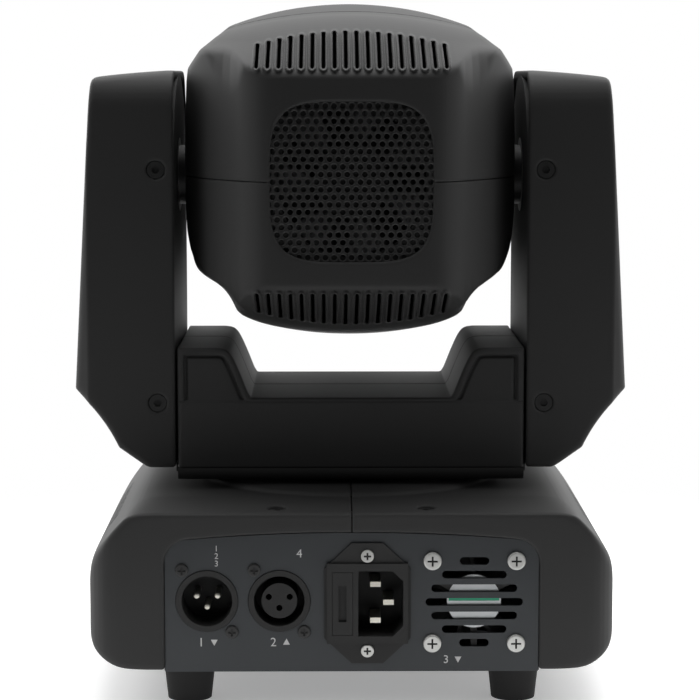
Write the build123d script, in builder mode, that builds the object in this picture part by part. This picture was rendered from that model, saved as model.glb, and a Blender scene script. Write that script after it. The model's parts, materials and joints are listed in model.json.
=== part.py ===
from build123d import *
import os
from math import hypot

os.makedirs("parts", exist_ok=True)

# Moving head light. +Z is up, the connector panel faces -Y and the lens faces +Y at rest.
# The origin is on the pan axis, at the height that the rubber feet stand on. Sizes are in mm.

# ------------------------------------------------------------------ clearances
seam = 0.2            # between covers and plates that meet edge to edge
belt_gap = 0.3        # belt to pulley
bore_gap = 0.05       # shaft in a bearing, on the radius
screw_gap = 0.1       # screw shank or head in its hole, on the radius
button_gap = 0.15     # button in its panel hole, on the radius
drawer_gap = 0.15     # fuse drawer in its slot, each side
rotor_gap = 0.6       # fan blade tips to the frame's bore
frame_gap = 0.3       # chassis plates to the head shells

# ------------------------------------------------------------------ base
foot_height = 14.0
foot_top_r = 10.0
foot_bottom_r = 8.5
foot_x = 63.0
foot_y = 67.0
foot_screw_r = 2.0
foot_head_r = 4.0
foot_head_height = 2.0
foot_recess = 6.0

base_depth = 172.0
base_width = 210.0          # across the bulged sides
base_face_width = 174.0     # flat stretch of the rear and front faces
base_corner = 14.0          # rounding of the plan corners
base_wall = 3.0
deck_z = 78.0
deck_edge_z = 74.5          # where the deck meets the rear and front faces
deck_slope = 28.0           # length of that gentle slope
deck_width = 164.0          # flat top before the side bevels
bevel_foot_in = 12.0        # where the side bevel meets the belly, in from the widest point
bevel_foot_z = 67.0
belly_z = 38.0              # height of the widest point
sill_in = 17.0              # where the flat bottom ends, in from the widest point
skirt_in = 10.0
skirt_z = 21.0
hip_in = 1.0
hip_z = 24.0
vent_count = 9              # slots in each side bevel
vent_pitch = 9.0
vent_width = 3.0
vent_low_z = 54.0
vent_high_z = 66.0
deck_hole_r = 22.0

plate_thick = 2.0
plate_width = 143.6
bracket_hole_r = 3.5
bracket_x = 106.0
bracket_y = 60.0

chassis_z = 64.0            # upper face of the chassis bridge
chassis_width = 142.0
chassis_in = 7.0            # chassis bridge short of the front and rear faces
web_depth = 110.0

deck_screw_x = 28.5
deck_screw_in = 10.0        # deck screws in from the front and rear faces
deck_boss_r = 5.0
screw_r = 1.5
screw_head_r = 3.2
screw_head_height = 1.6
deck_head_z = 73.6          # underside of the deck screws' heads

# ------------------------------------------------------------------ rear panel
panel_recess = 2.0          # panel face behind the base's rear face
panel_thick = 1.5
panel_width = 142.6
panel_side_z = 64.5
panel_crown_z = 67.9
panel_corner = 8.0

dmx_z = 41.5
dmx_in_x = -55.3
dmx_out_x = -27.7
dmx_flange_w = 26.0
dmx_flange_h = 31.0
dmx_flange_thick = 1.5
dmx_collar_proud = 0.6        # collar in front of the panel
dmx_body_r = 11.8
dmx_depth = 20.0
dmx_cavity_r = 9.7
dmx_cavity_depth = 15.0
dmx_insert_r = 6.8
dmx_contact_r = 1.2
dmx_screw_x = 9.5
dmx_screw_z = 12.0
dmx_screw_head_r = 2.5
dmx_contacts = [(-4.0, 1.5), (4.0, 1.5), (0.0, -2.8)]

inlet_x = 5.9
inlet_z = 40.7
inlet_flange_w = 33.0
inlet_flange_h = 46.6
inlet_flange_thick = 1.0
inlet_tip_w = 12.0
inlet_flat_h = 27.0
inlet_block = 31.0
inlet_body = 30.0
inlet_depth = 26.0
inlet_screw_z = 18.4
c14_x = 11.0
c14_z = 40.7
c14_w = 17.2
c14_h = 25.3
c14_chamfer = 4.0
c14_depth = 18.0
blade_long = 4.0
blade_thin = 2.0
blade_length = 15.0
blade_pitch = 14.0
line_blade_x = 9.0
earth_blade_x = 14.0
drawer_x = -3.6
drawer_w = 8.0
drawer_h = 24.5
drawer_length = 22.0
drawer_slot_depth = 23.5
fuse_r = 2.5
fuse_length = 20.0
fuse_in = 17.5              # fuse in from the rear face

fan_x = 46.7
fan_z = 41.0
fan_size = 40.0
fan_depth = 10.0
fan_rim = 1.0               # fan frame outside its bore, at its thinnest
fan_pitch_share = 0.8       # hole pitch as a share of the fan's size
fan_hub_r = 10.5
fan_screw_head_r = 3.5
slot_height = 3.0
slot_pitch = 5.3
slot_lengths = [37.2, 32.8, 24.7, 11.3]    # middle slot outwards

# ------------------------------------------------------------------ front panel
display_panel_w = 112.0
display_panel_h = 42.0
display_panel_z = 40.0
display_panel_thick = 2.5
display_panel_recess = 1.0
window_w = 56.0
window_h = 24.0
window_z = 47.0
window_thick = 1.5
window_ledge = 2.0
button_z = 26.0
button_pitch = 22.0
button_r = 4.5
button_flange_r = 6.0
button_flange_thick = 1.8
button_proud = 0.8
button_travel = 1.2
board_thick = 1.6
board_stand_off = 7.0

# ------------------------------------------------------------------ pan drive
shaft_r = 20.0
shaft_bore_r = 14.0
shaft_foot_z = 50.0
bearing_r = 26.0
bearing_flange_r = 31.0
bearing_flange_thick = 1.5
bearing_foot_z = 52.0
pan_pulley_r = 30.0
pan_pinion_r = 7.5
pulley_thick = 7.0
pulley_lift = 0.5           # running gap under the pulleys
belt_width = 6.0
belt_thick = 1.5
pan_motor_x = 44.0
pan_motor_y = 36.0
motor_size = 42.0
pan_motor_length = 38.0
motor_boss_r = 11.0
motor_shaft_r = 2.5

# ------------------------------------------------------------------ yoke
yoke_gap = 3.0              # crossbar's underside above the deck
bar_depth = 86.0
bar_width = 137.2
bar_wall = 2.5
tray_floor = 3.0
tray_wall_height = 2.0
tray_round = 4.0
yoke_plate_thick = 3.0
yoke_plate_depth = 76.0
yoke_ear_height = 38.0
yoke_ear_depth = 60.0
valley_z = 114.0
valley_half = 41.0
block_z = 133.9
block_half = 55.3

tilt_z = 200.5
arm_inner_x = 69.5
arm_radius = 43.0
arm_foot_z = 85.5
arm_wall = 3.0
arm_facet_x = 93.0
arm_facet_taper = 35.0
arm_top_x = 101.0
arm_top_round = 4.0
arm_wide_x = 109.4
arm_wide_z = 118.5
arm_heel_x = 92.0
arm_heel_z = 94.0
arm_waist_x = 99.5          # middle of the hollow curve under the widest point
arm_waist_z = 107.5
arm_toe_x = 80.0
arm_plate_thick = 3.0
arm_rim = 2.5
arm_screw_upper = (76.4, 204.0)
arm_screw_lower = (76.4, 112.0)
arm_screw_length = 8.0
arm_boss_r = 3.4
arm_head_r = 3.4
arm_head_sink = 1.8

trunnion_r = 12.0
trunnion_bore_r = 8.0
trunnion_flange_r = 18.0
trunnion_flange_thick = 3.0
tilt_bearing_r = 15.0
tilt_bearing_end_x = 78.0
tilt_bearing_flange_r = 19.0
tilt_bearing_flange_thick = 2.0
tilt_pulley_r = 26.0
tilt_pinion_r = 6.5
tilt_motor_length = 18.0
tilt_drive_drop = 58.0      # tilt axis to motor shaft
tilt_pulley_thick = 6.0
plain_trunnion_end_x = 80.0

# ------------------------------------------------------------------ head
head_half_width = 68.2
head_wall = 2.5
head_rear_y = -75.0
head_front_y = 82.0
head_seam_y = 12.0          # shells meet the front bezel
band_half = 40.5            # half height of the upright rear band
band_half_width = 40.0      # half width of its flat part
crown_half = 68.0           # half height at the tilt axis
bezel_half = 72.3           # half height of the front bezel
bezel_wide_y = 50.0
shoulder_x = 46.5           # outline seen from behind: top arc, corner arc, side arc
shoulder_z = 62.0
cheek_mid_x = 58.5
cheek_mid_z = 53.5
cheek_x = 65.0
cheek_z = 42.0
bezel_front_half = 66.0
bezel_front_width = 60.0    # half width at the front rim
bezel_edge_y = 60.0         # where the sides start to narrow to the front rim
side_start_y = -5.0         # where the sides start to narrow to the rear
side_rear_y = -15.0
side_rear_in = 1.2          # how far in from the widest point the sides are there
plan_mid = (55.0, -49.0)    # middle of the rounded rear corner seen from above
rear_arc_rise = 18.5        # rise of the rear slope's arc at its middle, above the band
# radius swept about the tilt axis, by distance from the middle: it clears the crossbar's end blocks
sweep_profile = [(42.0, 85.6), (44.0, 80.5), (46.0, 73.0), (48.0, 67.5), (50.5, 65.8)]
grille_w = 61.7
grille_h = 60.4
grille_corner = 10.0
grille_thick = 1.0
grille_lap = 2.0
grille_hole_r = 1.15
grille_pitch_x = 3.45
grille_pitch_z = 2.95
grille_rows = 19
grille_columns = 17
head_vent_count = 18
head_vent_pitch = 4.3
head_vent_width = 2.0
head_vent_low = 45.0
head_vent_high = 58.0
lens_r = 55.0
lens_hole_r = 53.0
lens_edge = 3.0
lens_crown = 2.0

head_fan_size = 60.0
head_fan_depth = 15.0
head_fan_bore_r = 28.5
head_fan_pitch = 50.0
head_fan_hub_r = 14.0
heatsink_size = 64.0
fin_count = 11
fin_thick = 1.6
fin_root = 5.0
led_board_size = 40.0
led_size = 16.0
led_height = 1.0
mid_plate_y = -26.0
mid_plate_thick = 2.0
front_plate_y = 2.0
front_plate_thick = 2.0
side_plate_in = 11.2        # side plates in from the head's widest point
side_plate_thick = 2.0
side_plate_front_y = 30.0
side_plate_rear_y = -28.0
side_plate_half = 30.0
beam_r = 9.0
wheel_r = 32.0
wheel_thick = 1.0
wheel_offset = 24.0
wheel_port_r = 6.0
wheel_ports = 8
colour_wheel_y = -20.0
gobo_wheel_y = -12.0
wheel_hub_r = 6.0
wheel_hub_length = 4.0
wheel_shaft_r = 2.0
wheel_motor_size = 28.0
wheel_motor_length = 28.0

# ------------------------------------------------------------------ worked out from the sizes above
rear_y = -base_depth / 2
front_y = base_depth / 2
deck_screw_y = front_y - deck_screw_in
chassis_depth = base_depth - 2 * chassis_in
fuse_y = rear_y + fuse_in
fan_bore_r = fan_size / 2 - fan_rim
fan_pitch = fan_size * fan_pitch_share
side_plate_x = head_half_width - side_plate_in
panel_y = rear_y + panel_recess                  # outer face of the rear panel
panel_back_y = panel_y + panel_thick
plate_top_z = foot_height + plate_thick
chassis_under_z = chassis_z - plate_thick
display_front_y = front_y - display_panel_recess
display_back_y = display_front_y - display_panel_thick
bar_under_z = deck_z + yoke_gap
yoke_plate_z = bar_under_z + tray_floor
yoke_plate_top_z = yoke_plate_z + yoke_plate_thick
tray_top_z = yoke_plate_z + tray_wall_height
pan_pulley_z = chassis_z + bearing_flange_thick + pulley_lift
side_rear_x = head_half_width - side_rear_in
pan_belt_z = pan_pulley_z + (pulley_thick - belt_width) / 2
arm_plate_outer_x = arm_inner_x + arm_plate_thick
tilt_motor_face_x = arm_plate_outer_x + tilt_motor_length
tilt_pulley_x = tilt_motor_face_x + 2 * pulley_lift
tilt_belt_x = tilt_pulley_x + pulley_lift
tilt_motor_z = tilt_z - tilt_drive_drop
driven_trunnion_end_x = tilt_pulley_x + tilt_pulley_thick
grille_y = head_rear_y + head_wall
head_fan_y = grille_y + grille_thick
heatsink_y = head_fan_y + head_fan_depth
led_board_y = mid_plate_y - board_thick


# ------------------------------------------------------------------ shared shapes
def base_form(inset: float) -> Part:
    """The base's closed outer form, or its hollow when inset by the wall."""
    belly = base_width / 2
    with BuildPart() as form:
        with BuildSketch(Plane.XZ):
            with BuildLine():
                Polyline((0, foot_height), (belly - sill_in, foot_height),
                         (belly - skirt_in, skirt_z), (belly - hip_in, hip_z))
                ThreePointArc((belly - hip_in, hip_z), (belly, belly_z),
                              (belly - bevel_foot_in, bevel_foot_z))
                Polyline((belly - bevel_foot_in, bevel_foot_z), (deck_width / 2, deck_z), (0, deck_z))
                mirror(about=Plane.YZ)
            make_face()
            if inset:
                offset(amount=-inset)
        extrude(amount=base_depth, both=True)
        with BuildSketch(Plane.YZ):
            with BuildLine():
                Polyline((0, foot_height), (front_y, foot_height), (front_y, deck_edge_z),
                         (front_y - deck_slope, deck_z), (0, deck_z))
                mirror(about=Plane.YZ)
            make_face()
            if inset:
                offset(amount=-inset)
        extrude(amount=base_width, both=True, mode=Mode.INTERSECT)
        with BuildSketch(Plane.XY):
            with BuildLine():
                Polyline((0, front_y), (base_face_width / 2, front_y))
                TangentArc((base_face_width / 2, front_y),
                           (base_face_width / 2 + base_corner, front_y - base_corner), tangent=(1, 0))
                ThreePointArc((base_face_width / 2 + base_corner, front_y - base_corner), (belly, 0),
                              (base_face_width / 2 + base_corner, base_corner - front_y))
                TangentArc((base_face_width / 2, rear_y),
                           (base_face_width / 2 + base_corner, rear_y + base_corner), tangent=(1, 0))
                Line((base_face_width / 2, rear_y), (0, rear_y))
                mirror(about=Plane.YZ)
            make_face()
            if inset:
                offset(amount=-inset)
        extrude(amount=deck_z, mode=Mode.INTERSECT)
    return form.part


def rear_panel_face(grow: float) -> Sketch:
    """Outline of the rear panel, drawn in X and Z, grown for the opening that it sits in."""
    half = panel_width / 2
    with BuildSketch() as face:
        with BuildLine():
            ThreePointArc((-half, panel_side_z), (0, panel_crown_z), (half, panel_side_z))
            Polyline((half, panel_side_z), (half, foot_height), (-half, foot_height), (-half, panel_side_z))
        make_face()
        fillet(face.vertices().group_by(Axis.Y)[-1], panel_corner)
        if grow:
            offset(amount=grow, kind=Kind.INTERSECTION)
    return face.sketch


def belt_face(drop: float, big_r: float, small_r: float) -> Sketch:
    """Outline round two pulleys: the big one at the origin, the small one at distance drop along X."""
    with BuildSketch() as face:
        Circle(big_r)
        with Locations((drop, 0)):
            Circle(small_r)
        make_hull()
    return face.sketch


def fan_frame(place: Plane, size: float, depth: float, bore_r: float, pitch: float, hub_r: float,
              pin_r: float) -> Part:
    """Square fan frame with its fixed hub on three arms; place is the hub side, its normal runs inwards."""
    spider_thick = 1.5
    with BuildPart() as frame:
        with BuildSketch(place):
            RectangleRounded(size, size, 3)
            Circle(bore_r, mode=Mode.SUBTRACT)
            with GridLocations(pitch, pitch, 2, 2):
                Circle(screw_r + screw_gap, mode=Mode.SUBTRACT)
        extrude(amount=depth)
        with BuildSketch(place.offset(0.2)):
            Circle(hub_r)
            with PolarLocations(bore_r / 2, 3, start_angle=90):
                Rectangle(bore_r + 2, 2.4)
        extrude(amount=spider_thick)
        with BuildSketch(place.offset(spider_thick)):
            Circle(pin_r)
        extrude(amount=depth - spider_thick - 1.0)
    return frame.part


def fan_rotor(place: Plane, depth: float, tip_r: float, hub_r: float, pin_r: float) -> Part:
    """Fan rotor with seven pitched blades; place is the frame's hub side."""
    start = 2.3
    length = depth - start - 0.7
    blade_tilt = 38
    middle = place.offset(start + length / 2)
    with BuildPart() as rotor:
        with BuildPart(middle, mode=Mode.PRIVATE) as disc:
            Cylinder(tip_r, length)
        with Locations(middle):
            with PolarLocations((hub_r + tip_r) / 2, 7):
                Box(tip_r - hub_r + 4, 1.2, length * 1.5, rotation=(blade_tilt, 0, 0))
        add(disc.part, mode=Mode.INTERSECT)
        with Locations(middle):
            Cylinder(hub_r - 0.5, length)
            Cylinder(pin_r + bore_gap, length, mode=Mode.SUBTRACT)
    return rotor.part


def arm_side_face(inset: float) -> Sketch:
    """Side outline of an arm in Y and Z: straight sides under a half round centred on the tilt axis."""
    half = arm_radius - inset
    with BuildSketch() as face:
        with BuildLine():
            Polyline((half, tilt_z), (half, arm_foot_z + inset), (-half, arm_foot_z + inset), (-half, tilt_z))
            ThreePointArc((-half, tilt_z), (0, tilt_z + half), (half, tilt_z))
        make_face()
    return face.sketch


def arm_plane(side: int, x: float) -> Plane:
    """Upright plane at distance x from the middle, facing outwards on that side."""
    return Plane(origin=(side * x, 0, 0), x_dir=(0, side, 0), z_dir=(side, 0, 0))


def arm_form(side: int, inset: float) -> Part:
    """Closed form of one arm, or its hollow when inset by the wall."""
    arm_top_z = tilt_z + arm_radius
    reach = arm_wide_x - arm_facet_x
    with BuildPart() as form:
        with BuildSketch(arm_plane(side, arm_inner_x)):
            add(arm_side_face(inset))
        extrude(amount=arm_facet_x - arm_inner_x)
        with BuildSketch(arm_plane(side, arm_facet_x)):
            add(arm_side_face(inset))
        extrude(amount=reach, taper=arm_facet_taper)
        with BuildSketch(Plane.XZ):
            with BuildLine():
                Polyline((side * arm_inner_x, arm_top_z), (side * arm_inner_x, arm_foot_z),
                         (side * arm_toe_x, arm_foot_z), (side * arm_heel_x, arm_heel_z))
                ThreePointArc((side * arm_heel_x, arm_heel_z), (side * arm_waist_x, arm_waist_z),
                              (side * arm_wide_x, arm_wide_z))
                Polyline((side * arm_wide_x, arm_wide_z), (side * arm_top_x, arm_top_z - arm_top_round),
                         (side * (arm_top_x - arm_top_round), arm_top_z), (side * arm_inner_x, arm_top_z))
            make_face()
            if inset:
                offset(amount=-inset)
        extrude(amount=arm_radius, both=True, mode=Mode.INTERSECT)
    return form.part


def sweep_cut(side: int, inset: float) -> Part:
    """What the rear half of the head leaves out on one side so that it swings past the crossbar's end block."""
    profile = [(side * (x - inset), radius - inset) for x, radius in sweep_profile]
    with BuildPart() as cut:
        with BuildSketch(Plane.XY):
            with BuildLine():
                Polyline(*profile, (side * head_half_width * 2, profile[-1][1]),
                         (side * head_half_width * 2, base_depth), (profile[0][0], base_depth), profile[0])
            make_face()
        revolve(axis=Axis.X)
        split(bisect_by=Plane.XZ, keep=Keep.TOP)
    return cut.part


def head_form(inset: float) -> Part:
    """Closed outer form of the head, or its hollow when inset by the wall. Heights run from the tilt axis."""
    with BuildPart() as form:
        with BuildSketch(Plane.YZ):
            with BuildLine():
                Line((head_rear_y, 0), (head_rear_y, band_half))
                ThreePointArc((head_rear_y, band_half), (head_rear_y / 2, band_half + rear_arc_rise), (0, crown_half))
                Polyline((0, crown_half), (bezel_wide_y, bezel_half), (head_front_y, bezel_front_half),
                         (head_front_y, 0))
                mirror(about=Plane.XZ)
            make_face()
            if inset:
                offset(amount=-inset)
        extrude(amount=head_half_width, both=True)
        with BuildSketch(Plane.XZ):
            with BuildLine():
                ThreePointArc((-shoulder_x, shoulder_z), (0, bezel_half), (shoulder_x, shoulder_z))
                ThreePointArc((shoulder_x, shoulder_z), (cheek_mid_x, cheek_mid_z), (cheek_x, cheek_z))
                ThreePointArc((cheek_x, cheek_z), (head_half_width, 0), (cheek_x, -cheek_z))
                ThreePointArc((cheek_x, -cheek_z), (cheek_mid_x, -cheek_mid_z), (shoulder_x, -shoulder_z))
                ThreePointArc((shoulder_x, -shoulder_z), (0, -bezel_half), (-shoulder_x, -shoulder_z))
                ThreePointArc((-shoulder_x, -shoulder_z), (-cheek_mid_x, -cheek_mid_z), (-cheek_x, -cheek_z))
                ThreePointArc((-cheek_x, -cheek_z), (-head_half_width, 0), (-cheek_x, cheek_z))
                ThreePointArc((-cheek_x, cheek_z), (-cheek_mid_x, cheek_mid_z), (-shoulder_x, shoulder_z))
            make_face()
            if inset:
                offset(amount=-inset)
        extrude(amount=base_depth, both=True, mode=Mode.INTERSECT)
        with BuildSketch(Plane.XY):
            with BuildLine():
                Line((0, head_rear_y), (band_half_width, head_rear_y))
                ThreePointArc((band_half_width, head_rear_y), plan_mid, (side_rear_x, side_rear_y))
                Polyline((side_rear_x, side_rear_y), (head_half_width, side_start_y),
                         (head_half_width, bezel_edge_y), (bezel_front_width, head_front_y), (0, head_front_y))
                mirror(about=Plane.YZ)
            make_face()
            if inset:
                offset(amount=-inset)
        extrude(amount=bezel_half, both=True, mode=Mode.INTERSECT)
        for side in (-1, 1):
            add(sweep_cut(side, inset), mode=Mode.SUBTRACT)
    return Pos(0, 0, tilt_z) * form.part


def panel_screw(x: float, z: float, under_y: float, head_r: float, head_height: float, length: float) -> Part:
    """Pan head screw in the rear panel, its head's underside at under_y, pointing inwards."""
    place = Plane(origin=(x, under_y, z), x_dir=(1, 0, 0), z_dir=(0, 1, 0))
    with BuildPart() as screw:
        with BuildSketch(place):
            Circle(screw_r)
        extrude(amount=length)
        with BuildSketch(place):
            Circle(head_r)
        extrude(amount=-head_height)
        fillet(screw.faces().sort_by(Axis.Y)[0].edges(), head_height * 0.45)
        with BuildSketch(place.offset(-head_height)):
            Rectangle(head_r * 1.1, 0.7)
            Rectangle(0.7, head_r * 1.1)
        extrude(amount=head_height * 0.4, mode=Mode.SUBTRACT)
    return screw.part


# ------------------------------------------------------------------ base: plates, feet and covers
with BuildPart() as bottom_plate:
    with BuildSketch(Plane.XY.offset(foot_height)):
        Rectangle(plate_width, 2 * abs(panel_back_y))
        with GridLocations(bracket_x, bracket_y, 2, 2):
            Circle(bracket_hole_r, mode=Mode.SUBTRACT)
        with GridLocations(2 * foot_x, 2 * foot_y, 2, 2):
            Circle(foot_screw_r + screw_gap, mode=Mode.SUBTRACT)
    extrude(amount=plate_thick)
bottom_plate.part.label = "bottom_plate"
export_step(bottom_plate.part, "parts/bottom_plate.step")

with BuildPart() as rubber_feet:
    with GridLocations(2 * foot_x, 2 * foot_y, 2, 2):
        Cone(foot_bottom_r, foot_top_r, foot_height, align=(Align.CENTER, Align.CENTER, Align.MIN))
        Cylinder(foot_head_r + screw_gap, foot_recess, align=(Align.CENTER, Align.CENTER, Align.MIN),
                 mode=Mode.SUBTRACT)
        Cylinder(foot_screw_r + screw_gap, foot_height, align=(Align.CENTER, Align.CENTER, Align.MIN),
                 mode=Mode.SUBTRACT)
rubber_feet.part.label = "rubber_feet"
export_step(rubber_feet.part, "parts/rubber_feet.step")

with BuildPart() as base_screws:
    with BuildSketch(Plane.XY.offset(foot_recess)):
        with GridLocations(2 * foot_x, 2 * foot_y, 2, 2):
            Circle(foot_screw_r)
    extrude(amount=foot_height - foot_recess + plate_thick + 1.0)
    with BuildSketch(Plane.XY.offset(foot_recess)):
        with GridLocations(2 * foot_x, 2 * foot_y, 2, 2):
            Circle(foot_head_r)
    extrude(amount=-foot_head_height)
    with BuildSketch(Plane.XY.offset(deck_head_z)):
        with GridLocations(2 * deck_screw_x, 2 * deck_screw_y, 2, 2):
            Circle(screw_r)
    extrude(amount=chassis_under_z - deck_head_z)
    with BuildSketch(Plane.XY.offset(deck_head_z)):
        with GridLocations(2 * deck_screw_x, 2 * deck_screw_y, 2, 2):
            Circle(screw_head_r)
    extrude(amount=screw_head_height)
    with BuildSketch(Plane.XY.offset(deck_head_z + screw_head_height)):
        with GridLocations(2 * deck_screw_x, 2 * deck_screw_y, 2, 2):
            RegularPolygon(1.5, 6)
    extrude(amount=-1.0, mode=Mode.SUBTRACT)
base_screws.part.label = "base_screws"
export_step(base_screws.part, "parts/base_screws.step")

with BuildPart() as base_shell:
    add(base_form(0))
    add(base_form(base_wall), mode=Mode.SUBTRACT)
    with BuildSketch(Plane.XY.offset(foot_height)):
        Rectangle(plate_width + 2 * seam, 2 * abs(panel_back_y) + 2 * seam)
    extrude(amount=base_wall, mode=Mode.SUBTRACT)
    with BuildSketch(Plane.XZ.offset(-rear_y - 2 * base_wall)):
        add(rear_panel_face(seam))
    extrude(amount=3 * base_wall, mode=Mode.SUBTRACT)
    with BuildSketch(Plane.XZ.offset(-front_y - base_wall)):
        with Locations((0, display_panel_z)):
            RectangleRounded(display_panel_w + 2 * seam, display_panel_h + 2 * seam, 6 + seam)
    extrude(amount=3 * base_wall, mode=Mode.SUBTRACT)
    with BuildSketch(Plane.XY.offset(chassis_z)):
        with GridLocations(2 * deck_screw_x, 2 * deck_screw_y, 2, 2):
            Circle(deck_boss_r)
    extrude(amount=deck_head_z - chassis_z)
    with BuildSketch(Plane.XY.offset(deck_head_z)):
        with GridLocations(2 * deck_screw_x, 2 * deck_screw_y, 2, 2):
            Circle(screw_head_r + screw_gap)
        Circle(deck_hole_r)
    extrude(amount=2 * base_wall, mode=Mode.SUBTRACT)
    with BuildSketch(Plane.XY.offset(chassis_z)):
        with GridLocations(2 * deck_screw_x, 2 * deck_screw_y, 2, 2):
            Circle(screw_r + screw_gap)
    extrude(amount=deck_z - chassis_z, mode=Mode.SUBTRACT)
    with BuildSketch(Plane.YZ):
        with Locations((0, (vent_low_z + vent_high_z) / 2)):
            with GridLocations(vent_pitch, 0, vent_count, 1):
                SlotOverall(vent_high_z - vent_low_z, vent_width, rotation=90)
    extrude(amount=base_width, both=True, mode=Mode.SUBTRACT)

for name, side in (("base_cover_left", Keep.BOTTOM), ("base_cover_right", Keep.TOP)):
    with BuildPart() as base_cover:
        add(base_shell.part)
        split(bisect_by=Plane.YZ, keep=side)
    base_cover.part.label = name
    export_step(base_cover.part, f"parts/{name}.step")

with BuildPart() as top_plate:
    with BuildSketch(Plane.XY.offset(chassis_under_z)):
        Rectangle(chassis_width, chassis_depth)
        Circle(bearing_r + screw_gap, mode=Mode.SUBTRACT)
        with Locations((pan_motor_x, pan_motor_y)):
            Circle(motor_boss_r + screw_gap, mode=Mode.SUBTRACT)
        with GridLocations(2 * deck_screw_x, 2 * deck_screw_y, 2, 2):
            Circle(screw_r + screw_gap, mode=Mode.SUBTRACT)
    extrude(amount=plate_thick)
    with BuildSketch(Plane.XY.offset(plate_top_z)):
        with GridLocations(chassis_width - plate_thick, 0, 2, 1):
            Rectangle(plate_thick, web_depth)
    extrude(amount=chassis_under_z - plate_top_z)
top_plate.part.label = "top_plate"
export_step(top_plate.part, "parts/top_plate.step")

# ------------------------------------------------------------------ base: rear panel and its connectors
dmx_places = [(dmx_in_x, dmx_z), (dmx_out_x, dmx_z)]
dmx_screw_places = [
    (x + side * dmx_screw_x, z - side * dmx_screw_z) for x, z in dmx_places for side in (-1, 1)
]
inlet_screw_places = [(inlet_x, inlet_z + side * inlet_screw_z) for side in (-1, 1)]
fan_screw_places = [
    (fan_x + sx * fan_pitch / 2, fan_z + sz * fan_pitch / 2) for sx in (-1, 1) for sz in (-1, 1)
]

with BuildPart() as rear_panel:
    with BuildSketch(Plane.XZ.offset(-panel_back_y)):
        add(rear_panel_face(0))
        with Locations(dmx_places):
            Circle(dmx_body_r + seam, mode=Mode.SUBTRACT)
        with Locations(dmx_screw_places + inlet_screw_places + fan_screw_places):
            Circle(screw_r + screw_gap, mode=Mode.SUBTRACT)
        with Locations((inlet_x, inlet_z)):
            Rectangle(inlet_body + 2 * seam, inlet_body + 2 * seam, mode=Mode.SUBTRACT)
        for row, length in enumerate(slot_lengths):
            with Locations((fan_x, fan_z + row * slot_pitch), (fan_x, fan_z - row * slot_pitch)):
                SlotOverall(length, slot_height, mode=Mode.SUBTRACT)
    extrude(amount=panel_thick)
rear_panel.part.label = "rear_panel"
export_step(rear_panel.part, "parts/rear_panel.step")


def dmx_socket(x: float) -> Part:
    """Round panel socket: its square flange sits behind the panel and its collar comes through it."""
    with BuildPart() as socket:
        with BuildSketch(Plane.XZ.offset(-panel_back_y - dmx_flange_thick)):
            with Locations((x, dmx_z)):
                RectangleRounded(dmx_flange_w, dmx_flange_h, 2.5)
            with Locations((x - dmx_screw_x, dmx_z + dmx_screw_z), (x + dmx_screw_x, dmx_z - dmx_screw_z)):
                Circle(screw_r + screw_gap, mode=Mode.SUBTRACT)
        extrude(amount=dmx_flange_thick)
        with BuildSketch(Plane.XZ.offset(-panel_y - dmx_depth)):
            with Locations((x, dmx_z)):
                Circle(dmx_body_r)
        extrude(amount=dmx_depth + dmx_collar_proud)
        with BuildSketch(Plane.XZ.offset(-panel_y + dmx_collar_proud)):
            with Locations((x, dmx_z)):
                Circle(dmx_cavity_r)
        extrude(amount=-dmx_cavity_depth, mode=Mode.SUBTRACT)
    return socket.part


dmx_contact_places = [(dmx_in_x + px, dmx_z + pz) for px, pz in dmx_contacts]
with BuildPart() as dmx_in_socket:
    add(dmx_socket(dmx_in_x))
    with BuildSketch(Plane.XZ.offset(-panel_y - dmx_depth)):
        with Locations(dmx_contact_places):
            Circle(dmx_contact_r + 0.02)
    extrude(amount=dmx_depth, mode=Mode.SUBTRACT)
dmx_in_socket.part.label = "dmx_in_socket"
export_step(dmx_in_socket.part, "parts/dmx_in_socket.step")

with BuildPart() as dmx_in_pins:
    with BuildSketch(Plane.XZ.offset(-panel_y - dmx_depth - 3.0)):
        with Locations(dmx_contact_places):
            Circle(dmx_contact_r)
    extrude(amount=dmx_depth + 1.0)
    fillet(dmx_in_pins.edges().group_by(Axis.Y)[0], dmx_contact_r * 0.6)
dmx_in_pins.part.label = "dmx_in_pins"
export_step(dmx_in_pins.part, "parts/dmx_in_pins.step")

with BuildPart() as dmx_out_socket:
    add(dmx_socket(dmx_out_x))
    with BuildSketch(Plane.XZ.offset(-panel_y + dmx_collar_proud - dmx_cavity_depth)):
        with Locations((dmx_out_x, dmx_z)):
            Circle(dmx_insert_r)
    extrude(amount=dmx_cavity_depth - 1.0)
    with BuildSketch(Plane.XZ.offset(-panel_y + dmx_collar_proud)):
        with Locations([(dmx_out_x + px, dmx_z + pz) for px, pz in dmx_contacts]):
            Circle(dmx_contact_r)
    extrude(amount=-dmx_cavity_depth, mode=Mode.SUBTRACT)
dmx_out_socket.part.label = "dmx_out_socket"
export_step(dmx_out_socket.part, "parts/dmx_out_socket.step")


def c14_face() -> Sketch:
    """Outline of the mains inlet's cavity: a rectangle with two chamfered corners on its +X side."""
    with BuildSketch() as face:
        Rectangle(c14_w, c14_h)
        chamfer(face.vertices().group_by(Axis.X)[-1], c14_chamfer)
    return face.sketch


def blade_faces(grow: float) -> Sketch:
    """The three blades' sections, in X and Z, grown for their slots."""
    with BuildSketch() as face:
        with Locations((line_blade_x, c14_z - blade_pitch / 2), (line_blade_x, c14_z + blade_pitch / 2),
                       (earth_blade_x, c14_z)):
            Rectangle(blade_long + 2 * grow, blade_thin + 2 * grow)
    return face.sketch


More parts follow.
